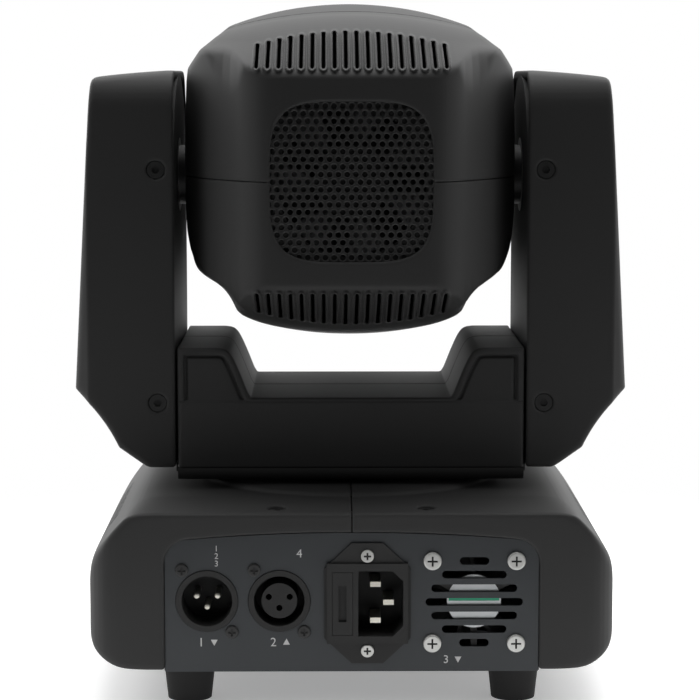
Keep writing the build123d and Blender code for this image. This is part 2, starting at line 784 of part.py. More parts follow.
with BuildPart() as power_inlet:
    with BuildSketch(Plane.XZ.offset(-panel_y)):
        with Locations((inlet_x, inlet_z)):
            Polygon((-inlet_tip_w / 2, inlet_flange_h / 2), (inlet_tip_w / 2, inlet_flange_h / 2),
                    (inlet_flange_w / 2, inlet_flat_h / 2), (inlet_flange_w / 2, -inlet_flat_h / 2),
                    (inlet_tip_w / 2, -inlet_flange_h / 2), (-inlet_tip_w / 2, -inlet_flange_h / 2),
                    (-inlet_flange_w / 2, -inlet_flat_h / 2), (-inlet_flange_w / 2, inlet_flat_h / 2))
        with Locations(inlet_screw_places):
            Circle(screw_r + screw_gap, mode=Mode.SUBTRACT)
    extrude(amount=inlet_flange_thick)
    with BuildSketch(Plane.XZ.offset(-panel_y)):
        with Locations((inlet_x, inlet_z)):
            Rectangle(inlet_block, inlet_block)
    extrude(amount=panel_recess)
    with BuildSketch(Plane.XZ.offset(-panel_y)):
        with Locations((inlet_x, inlet_z)):
            Rectangle(inlet_body, inlet_body)
    extrude(amount=-inlet_depth)
    with BuildSketch(Plane.XZ.offset(-rear_y)):
        with Locations((c14_x, c14_z)):
            add(c14_face())
    extrude(amount=-c14_depth, mode=Mode.SUBTRACT)
    with BuildSketch(Plane.XZ.offset(-rear_y)):
        with Locations((drawer_x, inlet_z)):
            Rectangle(drawer_w, drawer_h)
    extrude(amount=-drawer_slot_depth, mode=Mode.SUBTRACT)
    with BuildSketch(Plane.XZ.offset(-rear_y)):
        add(blade_faces(0.02))
    extrude(amount=-inlet_depth - panel_recess, mode=Mode.SUBTRACT)
power_inlet.part.label = "power_inlet"
export_step(power_inlet.part, "parts/power_inlet.step")

with BuildPart() as inlet_pins:
    with BuildSketch(Plane.XZ.offset(-rear_y - c14_depth + blade_length)):
        add(blade_faces(0))
    extrude(amount=-blade_length - inlet_depth + c14_depth - panel_recess - 5.0)
inlet_pins.part.label = "inlet_pins"
export_step(inlet_pins.part, "parts/inlet_pins.step")

fuse_pocket_y = fuse_y - fuse_r - 0.2
with BuildPart() as fuse_drawer:
    with BuildSketch(Plane.XZ.offset(-rear_y)):
        with Locations((drawer_x, inlet_z)):
            Rectangle(drawer_w - 2 * drawer_gap, drawer_h - 2 * drawer_gap)
    extrude(amount=-drawer_length)
    with BuildSketch(Plane.XZ.offset(-rear_y)):
        with Locations((drawer_x, inlet_z)):
            Rectangle(3.0, 14.0)
    extrude(amount=-1.2, mode=Mode.SUBTRACT)
    with BuildSketch(Plane.XZ.offset(-fuse_pocket_y)):
        with Locations((drawer_x, inlet_z)):
            Rectangle(2 * fuse_r + 0.4, fuse_length + 0.4)
    extrude(amount=-drawer_length, mode=Mode.SUBTRACT)
fuse_drawer.part.label = "fuse_drawer"
export_step(fuse_drawer.part, "parts/fuse_drawer.step")

with BuildPart() as fuse:
    with BuildSketch(Plane.XY.offset(inlet_z - fuse_length / 2)):
        with Locations((drawer_x, fuse_y)):
            Circle(fuse_r)
    extrude(amount=fuse_length)
fuse.part.label = "fuse"
export_step(fuse.part, "parts/fuse.step")

base_fan_place = Plane(origin=(fan_x, panel_back_y, fan_z), x_dir=(1, 0, 0), z_dir=(0, 1, 0))
with BuildPart() as base_fan_frame:
    add(fan_frame(base_fan_place, fan_size, fan_depth, fan_bore_r, fan_pitch, fan_hub_r, 1.5))
base_fan_frame.part.label = "base_fan_frame"
export_step(base_fan_frame.part, "parts/base_fan_frame.step")

with BuildPart() as base_fan_rotor:
    add(fan_rotor(base_fan_place, fan_depth, fan_bore_r - rotor_gap, fan_hub_r, 1.5))
base_fan_rotor.part.label = "base_fan_rotor"
export_step(base_fan_rotor.part, "parts/base_fan_rotor.step")

with BuildPart() as panel_screws:
    for x, z in dmx_screw_places:
        add(panel_screw(x, z, panel_y, dmx_screw_head_r, 1.1, 7.0))
    for x, z in inlet_screw_places:
        add(panel_screw(x, z, panel_y - inlet_flange_thick, dmx_screw_head_r, 0.9, 7.0))
    for x, z in fan_screw_places:
        add(panel_screw(x, z, panel_y, fan_screw_head_r, 1.6, fan_depth + panel_thick - 1.0))
panel_screws.part.label = "panel_screws"
export_step(panel_screws.part, "parts/panel_screws.step")

# ------------------------------------------------------------------ base: front panel
button_names = ["menu_button", "down_button", "up_button", "enter_button"]
button_x = [(place - (len(button_names) - 1) / 2) * button_pitch for place in range(len(button_names))]

with BuildPart() as display_panel:
    with BuildSketch(Plane.XZ.offset(-display_front_y)):
        with Locations((0, display_panel_z)):
            RectangleRounded(display_panel_w, display_panel_h, 6)
        with Locations((0, window_z)):
            Rectangle(window_w - 2 * window_ledge, window_h - 2 * window_ledge, mode=Mode.SUBTRACT)
        with Locations([(x, button_z) for x in button_x]):
            Circle(button_r + button_gap, mode=Mode.SUBTRACT)
    extrude(amount=display_panel_thick)
    with BuildSketch(Plane.XZ.offset(-display_front_y)):
        with Locations((0, window_z)):
            Rectangle(window_w, window_h)
    extrude(amount=window_thick, mode=Mode.SUBTRACT)
display_panel.part.label = "display_panel"
export_step(display_panel.part, "parts/display_panel.step")

with BuildPart() as display_window:
    with BuildSketch(Plane.XZ.offset(-display_front_y)):
        with Locations((0, window_z)):
            Rectangle(window_w - 2 * seam, window_h - 2 * seam)
    extrude(amount=window_thick)
display_window.part.label = "display_window"
export_step(display_window.part, "parts/display_window.step")

button_flange_y = display_back_y - seam
switch_y = button_flange_y - button_flange_thick - button_travel - seam
board_y = display_back_y - board_stand_off
with BuildPart() as control_board:
    with BuildSketch(Plane.XZ.offset(-board_y)):
        with Locations((0, display_panel_z)):
            Rectangle(100, 40)
    extrude(amount=board_thick)
    with BuildSketch(Plane.XZ.offset(-board_y)):
        with Locations((0, window_z)):
            Rectangle(window_w - 6, window_h - 4)
    extrude(amount=-3.5)
    with BuildSketch(Plane.XZ.offset(-board_y)):
        with Locations([(x, button_z) for x in button_x]):
            Rectangle(6, 6)
    extrude(amount=board_y - switch_y)
    with BuildSketch(Plane.XZ.offset(-board_y)):
        with Locations((0, display_panel_z)):
            with GridLocations(92, 32, 2, 2):
                Circle(2.5)
    extrude(amount=-board_stand_off)
    with BuildSketch(Plane.XZ.offset(-board_y + board_thick)):
        with Locations((-20, display_panel_z), (24, display_panel_z + 6)):
            Rectangle(16, 16)
    extrude(amount=2.5)
control_board.part.label = "control_board"
export_step(control_board.part, "parts/control_board.step")

for name, x in zip(button_names, button_x):
    with BuildPart() as button:
        with BuildSketch(Plane.XZ.offset(-button_flange_y)):
            with Locations((x, button_z)):
                Circle(button_flange_r)
        extrude(amount=button_flange_thick)
        with BuildSketch(Plane.XZ.offset(-button_flange_y)):
            with Locations((x, button_z)):
                Circle(button_r)
        extrude(amount=-(display_front_y + button_proud - button_flange_y))
        fillet(button.edges().group_by(Axis.Y)[-1], 0.6)
    button.part.label = name
    export_step(button.part, f"parts/{name}.step")

# ------------------------------------------------------------------ base: pan drive and supply
with BuildPart() as pan_bearing:
    with BuildSketch(Plane.XY.offset(bearing_foot_z)):
        Circle(bearing_r)
        Circle(shaft_r + bore_gap, mode=Mode.SUBTRACT)
    extrude(amount=chassis_z - bearing_foot_z)
    with BuildSketch(Plane.XY.offset(chassis_z)):
        Circle(bearing_flange_r)
        Circle(shaft_r + bore_gap, mode=Mode.SUBTRACT)
    extrude(amount=bearing_flange_thick)
pan_bearing.part.label = "pan_bearing"
export_step(pan_bearing.part, "parts/pan_bearing.step")

with BuildPart() as pan_motor:
    with BuildSketch(Plane.XY.offset(chassis_under_z)):
        with Locations((pan_motor_x, pan_motor_y)):
            RectangleRounded(motor_size, motor_size, 4)
    extrude(amount=-pan_motor_length)
    with BuildSketch(Plane.XY.offset(chassis_under_z)):
        with Locations((pan_motor_x, pan_motor_y)):
            Circle(motor_boss_r)
    extrude(amount=plate_thick)
    with BuildSketch(Plane.XY.offset(chassis_z)):
        with Locations((pan_motor_x, pan_motor_y)):
            Circle(motor_shaft_r)
    extrude(amount=pan_pulley_z + pulley_thick - chassis_z)
pan_motor.part.label = "pan_motor"
export_step(pan_motor.part, "parts/pan_motor.step")

with BuildPart() as pan_motor_pulley:
    with BuildSketch(Plane.XY.offset(pan_pulley_z)):
        with Locations((pan_motor_x, pan_motor_y)):
            Circle(pan_pinion_r)
            Circle(motor_shaft_r + bore_gap, mode=Mode.SUBTRACT)
    extrude(amount=pulley_thick)
pan_motor_pulley.part.label = "pan_motor_pulley"
export_step(pan_motor_pulley.part, "parts/pan_motor_pulley.step")

pan_drop = hypot(pan_motor_x, pan_motor_y)
pan_belt_plane = Plane(origin=(0, 0, pan_belt_z), x_dir=(pan_motor_x, pan_motor_y, 0), z_dir=(0, 0, 1))
with BuildPart() as pan_belt:
    with BuildSketch(pan_belt_plane):
        add(belt_face(pan_drop, pan_pulley_r + belt_gap + belt_thick, pan_pinion_r + belt_gap + belt_thick))
        add(belt_face(pan_drop, pan_pulley_r + belt_gap, pan_pinion_r + belt_gap), mode=Mode.SUBTRACT)
    extrude(amount=belt_width)
pan_belt.part.label = "pan_belt"
export_step(pan_belt.part, "parts/pan_belt.step")

supply_x = -46.0
supply_w = 40.0
supply_depth = 92.0
supply_z = plate_top_z + 4.0
with BuildPart() as power_supply:
    with BuildSketch(Plane.XY.offset(supply_z)):
        with Locations((supply_x, 0)):
            Rectangle(supply_w, supply_depth)
    extrude(amount=board_thick)
    with BuildSketch(Plane.XY.offset(plate_top_z)):
        with Locations((supply_x, 0)):
            with GridLocations(supply_w - 8, supply_depth - 8, 2, 2):
                Circle(3)
    extrude(amount=supply_z - plate_top_z)
    with BuildSketch(Plane.XY.offset(supply_z + board_thick)):
        with Locations((supply_x, 0)):
            Rectangle(26, 28)
        with Locations((supply_x - 8, 32), (supply_x + 8, 32), (supply_x, -32)):
            Circle(7)
    extrude(amount=22)
power_supply.part.label = "power_supply"
export_step(power_supply.part, "parts/power_supply.step")

# ------------------------------------------------------------------ yoke: shaft, plate and crossbar
with BuildPart() as pan_shaft:
    with BuildSketch(Plane.XY.offset(shaft_foot_z)):
        Circle(shaft_r)
        Circle(shaft_bore_r, mode=Mode.SUBTRACT)
    extrude(amount=yoke_plate_z - shaft_foot_z)
pan_shaft.part.label = "pan_shaft"
export_step(pan_shaft.part, "parts/pan_shaft.step")

with BuildPart() as pan_pulley:
    with BuildSketch(Plane.XY.offset(pan_pulley_z)):
        Circle(pan_pulley_r)
        Circle(shaft_r + 0.02, mode=Mode.SUBTRACT)
        with PolarLocations((shaft_r + pan_pulley_r) / 2, 8):
            Circle(2.5, mode=Mode.SUBTRACT)
    extrude(amount=pulley_thick)
pan_pulley.part.label = "pan_pulley"
export_step(pan_pulley.part, "parts/pan_pulley.step")

with BuildPart() as yoke_plate:
    with BuildSketch(Plane.XY.offset(yoke_plate_z)):
        Rectangle(2 * arm_inner_x, yoke_plate_depth)
        Circle(shaft_bore_r, mode=Mode.SUBTRACT)
    extrude(amount=yoke_plate_thick)
    with BuildSketch(Plane.XY.offset(yoke_plate_top_z)):
        with GridLocations(2 * arm_inner_x - yoke_plate_thick, 0, 2, 1):
            Rectangle(yoke_plate_thick, yoke_ear_depth)
    extrude(amount=yoke_ear_height)
yoke_plate.part.label = "yoke_plate"
export_step(yoke_plate.part, "parts/yoke_plate.step")

with BuildPart() as crossbar_tray:
    with BuildSketch(Plane.XY.offset(bar_under_z)):
        Rectangle(bar_width, bar_depth)
    extrude(amount=tray_top_z - bar_under_z)
    fillet(crossbar_tray.faces().sort_by(Axis.Z)[0].edges().filter_by(Axis.X), tray_round)
    with BuildSketch(Plane.XY.offset(yoke_plate_z)):
        Rectangle(bar_width, bar_depth - 2 * bar_wall)
    extrude(amount=tray_wall_height, mode=Mode.SUBTRACT)
    with BuildSketch(Plane.XY.offset(bar_under_z)):
        Circle(shaft_r + seam)
    extrude(amount=tray_floor, mode=Mode.SUBTRACT)
crossbar_tray.part.label = "crossbar_tray"
export_step(crossbar_tray.part, "parts/crossbar_tray.step")


def bar_face(inset: float) -> Sketch:
    """Front outline of the crossbar: a valley between two end blocks, its top lowered by inset."""
    mid = (valley_half + block_half) / 2
    mid_z = (valley_z + block_z) / 2
    half = bar_width / 2
    with BuildSketch() as face:
        with BuildLine():
            Line((0, valley_z - inset), (valley_half + inset / 2, valley_z - inset))
            Spline((valley_half + inset / 2, valley_z - inset), (mid + inset / 2, mid_z - inset / 2),
                   (block_half + inset / 2, block_z - inset), tangents=[(1, 0), (1, 0)])
            Polyline((block_half + inset / 2, block_z - inset), (half, block_z - inset), (half, tray_top_z),
                     (0, tray_top_z))
            mirror(about=Plane.YZ)
        make_face()
    return face.sketch


with BuildPart() as crossbar_cover:
    with BuildSketch(Plane.XZ):
        add(bar_face(0))
    extrude(amount=bar_depth / 2, both=True)
    with BuildSketch(Plane.XZ):
        add(bar_face(bar_wall))
    extrude(amount=bar_depth / 2 - bar_wall, both=True, mode=Mode.SUBTRACT)
crossbar_cover.part.label = "crossbar_cover"
export_step(crossbar_cover.part, "parts/crossbar_cover.step")

# ------------------------------------------------------------------ yoke: arms
for name, side in (("left", -1), ("right", 1)):
    with BuildPart() as arm_plate:
        with BuildSketch(arm_plane(side, arm_inner_x)):
            add(arm_side_face(arm_rim + seam))
            with Locations((0, tilt_z)):
                Circle(tilt_bearing_r + screw_gap, mode=Mode.SUBTRACT)
        extrude(amount=arm_plate_thick)
    arm_plate.part.label = f"arm_plate_{name}"
    export_step(arm_plate.part, f"parts/arm_plate_{name}.step")

    with BuildPart() as arm_cover:
        add(arm_form(side, 0))
        add(arm_form(side, arm_wall), mode=Mode.SUBTRACT)
        with BuildSketch(arm_plane(side, arm_inner_x)):
            add(arm_side_face(arm_rim))
        extrude(amount=arm_plate_thick + seam, mode=Mode.SUBTRACT)
        for x, z in (arm_screw_upper, arm_screw_lower):
            for face in (-1, 1):
                outside = Plane(origin=(side * x, face * arm_radius, z), x_dir=(1, 0, 0), z_dir=(0, -face, 0))
                with BuildSketch(outside.offset(arm_wall)):
                    Circle(arm_boss_r)
                extrude(amount=arm_screw_length - 2.0)
                with BuildSketch(outside):
                    Circle(arm_head_r + screw_gap)
                extrude(amount=arm_head_sink, mode=Mode.SUBTRACT)
                with BuildSketch(outside):
                    Circle(screw_r + screw_gap)
                extrude(amount=arm_screw_length + arm_head_sink, mode=Mode.SUBTRACT)
    arm_cover.part.label = f"arm_cover_{name}"
    export_step(arm_cover.part, f"parts/arm_cover_{name}.step")

with BuildPart() as arm_screws:
    for x, z in (arm_screw_upper, arm_screw_lower):
        for face in (-1, 1):
            seat = Plane(origin=(x, face * (arm_radius - arm_head_sink), z), x_dir=(1, 0, 0),
                         z_dir=(0, -face, 0))
            with BuildSketch(seat):
                Circle(screw_r)
            extrude(amount=arm_screw_length)
            with BuildSketch(seat):
                Circle(arm_head_r)
            extrude(amount=-(arm_head_sink - 0.4))
            with BuildSketch(seat.offset(-(arm_head_sink - 0.4))):
                RegularPolygon(1.6, 6)
            extrude(amount=0.9, mode=Mode.SUBTRACT)
    mirror(about=Plane.YZ)
arm_screws.part.label = "arm_screws"
export_step(arm_screws.part, "parts/arm_screws.step")

with BuildPart() as tilt_bearings:
    with BuildSketch(Plane.YZ.offset(arm_inner_x)):
        with Locations((0, tilt_z)):
            Circle(tilt_bearing_r)
    extrude(amount=tilt_bearing_end_x - arm_inner_x)
    with BuildSketch(Plane.YZ.offset(arm_plate_outer_x)):
        with Locations((0, tilt_z)):
            Circle(tilt_bearing_flange_r)
    extrude(amount=tilt_bearing_flange_thick)
    with BuildSketch(Plane.YZ.offset(arm_inner_x)):
        with Locations((0, tilt_z)):
            Circle(trunnion_r + bore_gap)
    extrude(amount=tilt_bearing_end_x - arm_inner_x, mode=Mode.SUBTRACT)
    mirror(about=Plane.YZ)
tilt_bearings.part.label = "tilt_bearings"
export_step(tilt_bearings.part, "parts/tilt_bearings.step")

with BuildPart() as tilt_motor:
    with BuildSketch(Plane.YZ.offset(arm_plate_outer_x)):
        with Locations((0, tilt_motor_z)):
            RectangleRounded(motor_size, motor_size, 4)
    extrude(amount=tilt_motor_length)
    with BuildSketch(Plane.YZ.offset(tilt_motor_face_x)):
        with Locations((0, tilt_motor_z)):
            Circle(motor_shaft_r)
    extrude(amount=tilt_pulley_x + tilt_pulley_thick - tilt_motor_face_x)
tilt_motor.part.label = "tilt_motor"
export_step(tilt_motor.part, "parts/tilt_motor.step")

with BuildPart() as tilt_motor_pulley:
    with BuildSketch(Plane.YZ.offset(tilt_pulley_x)):
        with Locations((0, tilt_motor_z)):
            Circle(tilt_pinion_r)
            Circle(motor_shaft_r + bore_gap, mode=Mode.SUBTRACT)
    extrude(amount=tilt_pulley_thick)
tilt_motor_pulley.part.label = "tilt_motor_pulley"
export_step(tilt_motor_pulley.part, "parts/tilt_motor_pulley.step")

tilt_belt_plane = Plane(origin=(tilt_belt_x, 0, tilt_z), x_dir=(0, 0, -1), z_dir=(1, 0, 0))
with BuildPart() as tilt_belt:
    with BuildSketch(tilt_belt_plane):
        add(belt_face(tilt_drive_drop, tilt_pulley_r + belt_gap + belt_thick,
                      tilt_pinion_r + belt_gap + belt_thick))
        add(belt_face(tilt_drive_drop, tilt_pulley_r + belt_gap, tilt_pinion_r + belt_gap),
            mode=Mode.SUBTRACT)
    extrude(amount=tilt_pulley_thick - 2 * pulley_lift)
tilt_belt.part.label = "tilt_belt"
export_step(tilt_belt.part, "parts/tilt_belt.step")

# ------------------------------------------------------------------ head: shells and bezel
with BuildPart() as head_skin:
    add(head_form(0))
    add(head_form(head_wall), mode=Mode.SUBTRACT)
    with BuildSketch(Plane.XZ.offset(-head_rear_y - 2 * head_wall)):
        with Locations((0, tilt_z)):
            RectangleRounded(grille_w, grille_h, grille_corner)
    extrude(amount=3 * head_wall, mode=Mode.SUBTRACT)
    with BuildSketch(Plane.YZ.offset(-arm_inner_x)):
        with Locations((0, tilt_z)):
            Circle(trunnion_r + seam)
    extrude(amount=2 * arm_inner_x, mode=Mode.SUBTRACT)
    with BuildSketch(Plane.XZ.offset(-head_front_y - head_wall)):
        with Locations((0, tilt_z)):
            Circle(lens_hole_r)
    extrude(amount=3 * head_wall, mode=Mode.SUBTRACT)
    with BuildSketch(Plane.XZ.offset(-head_rear_y / 4)):
        for side in (-1, 1):
            with Locations((0, tilt_z + side * (head_vent_low + head_vent_high) / 2)):
                with GridLocations(head_vent_pitch, 0, head_vent_count, 1):
                    SlotOverall(head_vent_high - head_vent_low, head_vent_width, rotation=90)
    extrude(amount=-head_rear_y, mode=Mode.SUBTRACT)

seam_plane = Plane.XZ.offset(-head_seam_y)
with BuildPart() as rear_skin:
    add(head_skin.part)
    split(bisect_by=seam_plane, keep=Keep.TOP)

for name, side in (("head_shell_upper", Keep.TOP), ("head_shell_lower", Keep.BOTTOM)):
    with BuildPart() as head_shell:
        add(rear_skin.part)
        split(bisect_by=Plane.XY.offset(tilt_z), keep=side)
    head_shell.part.label = name
    export_step(head_shell.part, f"parts/{name}.step")

with BuildPart() as front_bezel:
    add(head_skin.part)
    split(bisect_by=seam_plane, keep=Keep.BOTTOM)
front_bezel.part.label = "front_bezel"
export_step(front_bezel.part, "parts/front_bezel.step")

lens_back_y = head_front_y - head_wall - lens_edge
with BuildPart() as front_lens:
    with BuildSketch(Plane.XZ.offset(-lens_back_y)):
        with Locations((0, tilt_z)):
            Circle(lens_r)
    extrude(amount=-lens_edge)
    with BuildSketch(Plane.XZ.offset(-lens_back_y - lens_edge)):
        with Locations((0, tilt_z)):
            Circle(lens_hole_r - 1.0)
    extrude(amount=-lens_crown, taper=20)
front_lens.part.label = "front_lens"
export_step(front_lens.part, "parts/front_lens.step")

with BuildPart() as head_grille:
    with BuildSketch(Plane.XZ.offset(-grille_y)):
        with Locations((0, tilt_z)):
            RectangleRounded(grille_w + 2 * grille_lap, grille_h + 2 * grille_lap, grille_corner + grille_lap)
            for shift in (0, 1):
                with Locations((shift * grille_pitch_x / 2, shift * grille_pitch_z)):
                    with GridLocations(grille_pitch_x, 2 * grille_pitch_z, grille_columns - shift,
                                       (grille_rows + 1) // 2 - shift):
                        Circle(grille_hole_r, mode=Mode.SUBTRACT)
    extrude(amount=-grille_thick)
head_grille.part.label = "head_grille"
export_step(head_grille.part, "parts/head_grille.step")

# ------------------------------------------------------------------ head: chassis and what it carries
with BuildPart() as frame_limit:
    add(head_form(head_wall + frame_gap))

with BuildPart() as head_frame:
    for y, thick, half_width in ((mid_plate_y, mid_plate_thick, head_half_width),
                                 (front_plate_y, front_plate_thick, side_plate_x)):
        with BuildSketch(Plane.XZ.offset(-y)):
            with Locations((0, tilt_z)):
                Rectangle(2 * half_width, 2 * bezel_half)
        extrude(amount=-thick)
    add(frame_limit.part, mode=Mode.INTERSECT)
    with BuildSketch(Plane.YZ.offset(-side_plate_x)):
        with Locations(((side_plate_front_y + side_plate_rear_y) / 2, tilt_z)):
            Rectangle(side_plate_front_y - side_plate_rear_y, 2 * side_plate_half)
    extrude(amount=side_plate_thick)
    with BuildSketch(Plane.YZ.offset(side_plate_x)):
        with Locations(((side_plate_front_y + side_plate_rear_y) / 2, tilt_z)):
            Rectangle(side_plate_front_y - side_plate_rear_y, 2 * side_plate_half)
    extrude(amount=-side_plate_thick)
    with BuildSketch(Plane.XZ.offset(-front_plate_y - 2 * front_plate_thick)):
        with Locations((0, tilt_z)):
            Circle(beam_r)
        with Locations((0, tilt_z - wheel_offset), (0, tilt_z + wheel_offset)):
            Circle(wheel_shaft_r + 1.0)
    extrude(amount=4 * front_plate_thick, mode=Mode.SUBTRACT)
    with BuildSketch(Plane.XZ.offset(-mid_plate_y - 2 * mid_plate_thick)):
        with Locations((0, tilt_z)):
            Circle(beam_r)
    extrude(amount=4 * mid_plate_thick, mode=Mode.SUBTRACT)
    with BuildSketch(Plane.YZ.offset(-side_plate_x - side_plate_thick)):
        with Locations((0, tilt_z)):
            Circle(trunnion_bore_r)
    extrude(amount=2 * (side_plate_x + side_plate_thick), mode=Mode.SUBTRACT)
head_frame.part.label = "head_frame"
export_step(head_frame.part, "parts/head_frame.step")

with BuildPart() as trunnions:
    for side, end_x in ((1, driven_trunnion_end_x), (-1, plain_trunnion_end_x)):
        seat = Plane(origin=(side * side_plate_x, 0, tilt_z), x_dir=(0, 1, 0), z_dir=(side, 0, 0))
        with BuildSketch(seat):
            Circle(trunnion_r)
        extrude(amount=end_x - side_plate_x)
        with BuildSketch(seat):
            Circle(trunnion_flange_r)
        extrude(amount=trunnion_flange_thick)
        with BuildSketch(seat):
            Circle(trunnion_bore_r)
        extrude(amount=end_x - side_plate_x, mode=Mode.SUBTRACT)
trunnions.part.label = "trunnions"
export_step(trunnions.part, "parts/trunnions.step")

with BuildPart() as tilt_pulley:
    with BuildSketch(Plane.YZ.offset(tilt_pulley_x)):
        with Locations((0, tilt_z)):
            Circle(tilt_pulley_r)
            Circle(trunnion_r + 0.02, mode=Mode.SUBTRACT)
            with PolarLocations((trunnion_r + tilt_pulley_r) / 2, 6):
                Circle(3.5, mode=Mode.SUBTRACT)
    extrude(amount=tilt_pulley_thick)
tilt_pulley.part.label = "tilt_pulley"
export_step(tilt_pulley.part, "parts/tilt_pulley.step")

with BuildPart() as heatsink:
    with BuildSketch(Plane.XZ.offset(-led_board_y)):
        with Locations((0, tilt_z)):
            Rectangle(heatsink_size, heatsink_size)
    extrude(amount=fin_root)
    fin_pitch = (heatsink_size - fin_thick) / (fin_count - 1)
    with BuildSketch(Plane.XZ.offset(-led_board_y + fin_root)):
        with Locations((0, tilt_z)):
            with GridLocations(fin_pitch, 0, fin_count, 1):
                Rectangle(fin_thick, heatsink_size)
    extrude(amount=led_board_y - fin_root - heatsink_y)
heatsink.part.label = "heatsink"
export_step(heatsink.part, "parts/heatsink.step")

with BuildPart() as led_board:
    with BuildSketch(Plane.XZ.offset(-mid_plate_y)):
        with Locations((0, tilt_z)):
            Rectangle(led_board_size, led_board_size)
    extrude(amount=board_thick)
    with BuildSketch(Plane.XZ.offset(-mid_plate_y)):
        with Locations((0, tilt_z)):
            Circle(led_size / 2 - 0.5)
    extrude(amount=-led_height)
led_board.part.label = "led_board"
export_step(led_board.part, "parts/led_board.step")

head_fan_place = Plane(origin=(0, head_fan_y, tilt_z), x_dir=(1, 0, 0), z_dir=(0, 1, 0))
with BuildPart() as head_fan_frame:
    add(fan_frame(head_fan_place, head_fan_size, head_fan_depth, head_fan_bore_r, head_fan_pitch,
                  head_fan_hub_r, 2.0))
head_fan_frame.part.label = "head_fan_frame"
export_step(head_fan_frame.part, "parts/head_fan_frame.step")

with BuildPart() as head_fan_rotor:
    add(fan_rotor(head_fan_place, head_fan_depth, head_fan_bore_r - rotor_gap, head_fan_hub_r, 2.0))
head_fan_rotor.part.label = "head_fan_rotor"
export_step(head_fan_rotor.part, "parts/head_fan_rotor.step")

motor_face_y = front_plate_y + front_plate_thick
with BuildPart() as wheel_motors:
    for side, wheel_y in ((1, colour_wheel_y), (-1, gobo_wheel_y)):
        centre = (0, tilt_z + side * wheel_offset)
        with BuildSketch(Plane.XZ.offset(-motor_face_y)):
            with Locations(centre):
                RectangleRounded(wheel_motor_size, wheel_motor_size, 3)
        extrude(amount=-wheel_motor_length)
        with BuildSketch(Plane.XZ.offset(-motor_face_y)):
            with Locations(centre):
                Circle(wheel_shaft_r)
        extrude(amount=motor_face_y - wheel_y + 2.0)
wheel_motors.part.label = "wheel_motors"
export_step(wheel_motors.part, "parts/wheel_motors.step")

for name, side, wheel_y, ports in (("colour_wheel", 1, colour_wheel_y, wheel_ports),
                                   ("gobo_wheel", -1, gobo_wheel_y, wheel_ports - 1)):
    with BuildPart() as wheel:
        with BuildSketch(Plane.XZ.offset(-wheel_y - wheel_thick)):
            with Locations((0, tilt_z + side * wheel_offset)):
                Circle(wheel_r)
                with PolarLocations(wheel_offset, ports, start_angle=90):
                    Circle(wheel_port_r, mode=Mode.SUBTRACT)
        extrude(amount=wheel_thick)
        with BuildSketch(Plane.XZ.offset(-wheel_y)):
            with Locations((0, tilt_z + side * wheel_offset)):
                Circle(wheel_hub_r)
        extrude(amount=-wheel_hub_length)
        with BuildSketch(Plane.XZ.offset(-wheel_y)):
            with Locations((0, tilt_z + side * wheel_offset)):
                Circle(wheel_shaft_r + bore_gap)
        extrude(amount=-wheel_hub_length, mode=Mode.SUBTRACT)
    wheel.part.label = name
    export_step(wheel.part, f"parts/{name}.step")
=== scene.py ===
"""Looks of a small moving head stage light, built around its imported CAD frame.

The covers that show most are remodelled as distance fields with soft edges, vents, seams and counterbores,
and meshed with surface nets. The other CAD nodes keep their shape and take a procedural finish.
"""

import json
import logging
import math
from dataclasses import dataclass
from enum import Enum
from typing import Sequence

import bpy
import numpy as np
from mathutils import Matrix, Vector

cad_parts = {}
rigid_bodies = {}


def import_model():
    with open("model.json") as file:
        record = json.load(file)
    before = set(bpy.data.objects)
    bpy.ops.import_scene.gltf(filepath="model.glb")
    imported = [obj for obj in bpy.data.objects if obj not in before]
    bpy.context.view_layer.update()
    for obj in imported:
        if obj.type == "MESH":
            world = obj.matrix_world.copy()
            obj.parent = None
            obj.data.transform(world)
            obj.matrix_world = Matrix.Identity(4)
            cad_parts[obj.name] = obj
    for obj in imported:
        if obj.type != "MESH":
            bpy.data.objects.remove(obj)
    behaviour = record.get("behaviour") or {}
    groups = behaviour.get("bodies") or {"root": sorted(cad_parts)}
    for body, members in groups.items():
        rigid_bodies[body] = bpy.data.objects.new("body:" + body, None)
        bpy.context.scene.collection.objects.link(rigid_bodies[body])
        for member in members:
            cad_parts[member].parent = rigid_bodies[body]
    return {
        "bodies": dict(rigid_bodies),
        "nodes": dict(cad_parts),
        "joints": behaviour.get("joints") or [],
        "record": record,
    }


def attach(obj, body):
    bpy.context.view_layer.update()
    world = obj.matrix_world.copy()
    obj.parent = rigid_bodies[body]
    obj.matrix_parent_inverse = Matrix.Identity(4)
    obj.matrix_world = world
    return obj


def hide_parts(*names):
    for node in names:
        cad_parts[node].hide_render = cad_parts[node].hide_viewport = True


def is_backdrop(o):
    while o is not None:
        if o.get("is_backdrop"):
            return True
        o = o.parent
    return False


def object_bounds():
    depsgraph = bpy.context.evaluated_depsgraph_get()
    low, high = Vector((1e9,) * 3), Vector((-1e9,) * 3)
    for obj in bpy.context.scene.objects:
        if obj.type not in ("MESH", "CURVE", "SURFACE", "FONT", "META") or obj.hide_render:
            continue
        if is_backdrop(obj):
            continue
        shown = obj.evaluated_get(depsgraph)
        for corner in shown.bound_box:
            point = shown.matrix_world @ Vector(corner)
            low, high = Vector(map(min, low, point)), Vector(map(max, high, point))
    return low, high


log = logging.getLogger("moving_head")

MM: float = 0.001
TILT_Z: float = 200.5
Point = tuple[float, float]
Stretch = tuple[float, float, float]
Mesh = tuple[np.ndarray, np.ndarray]


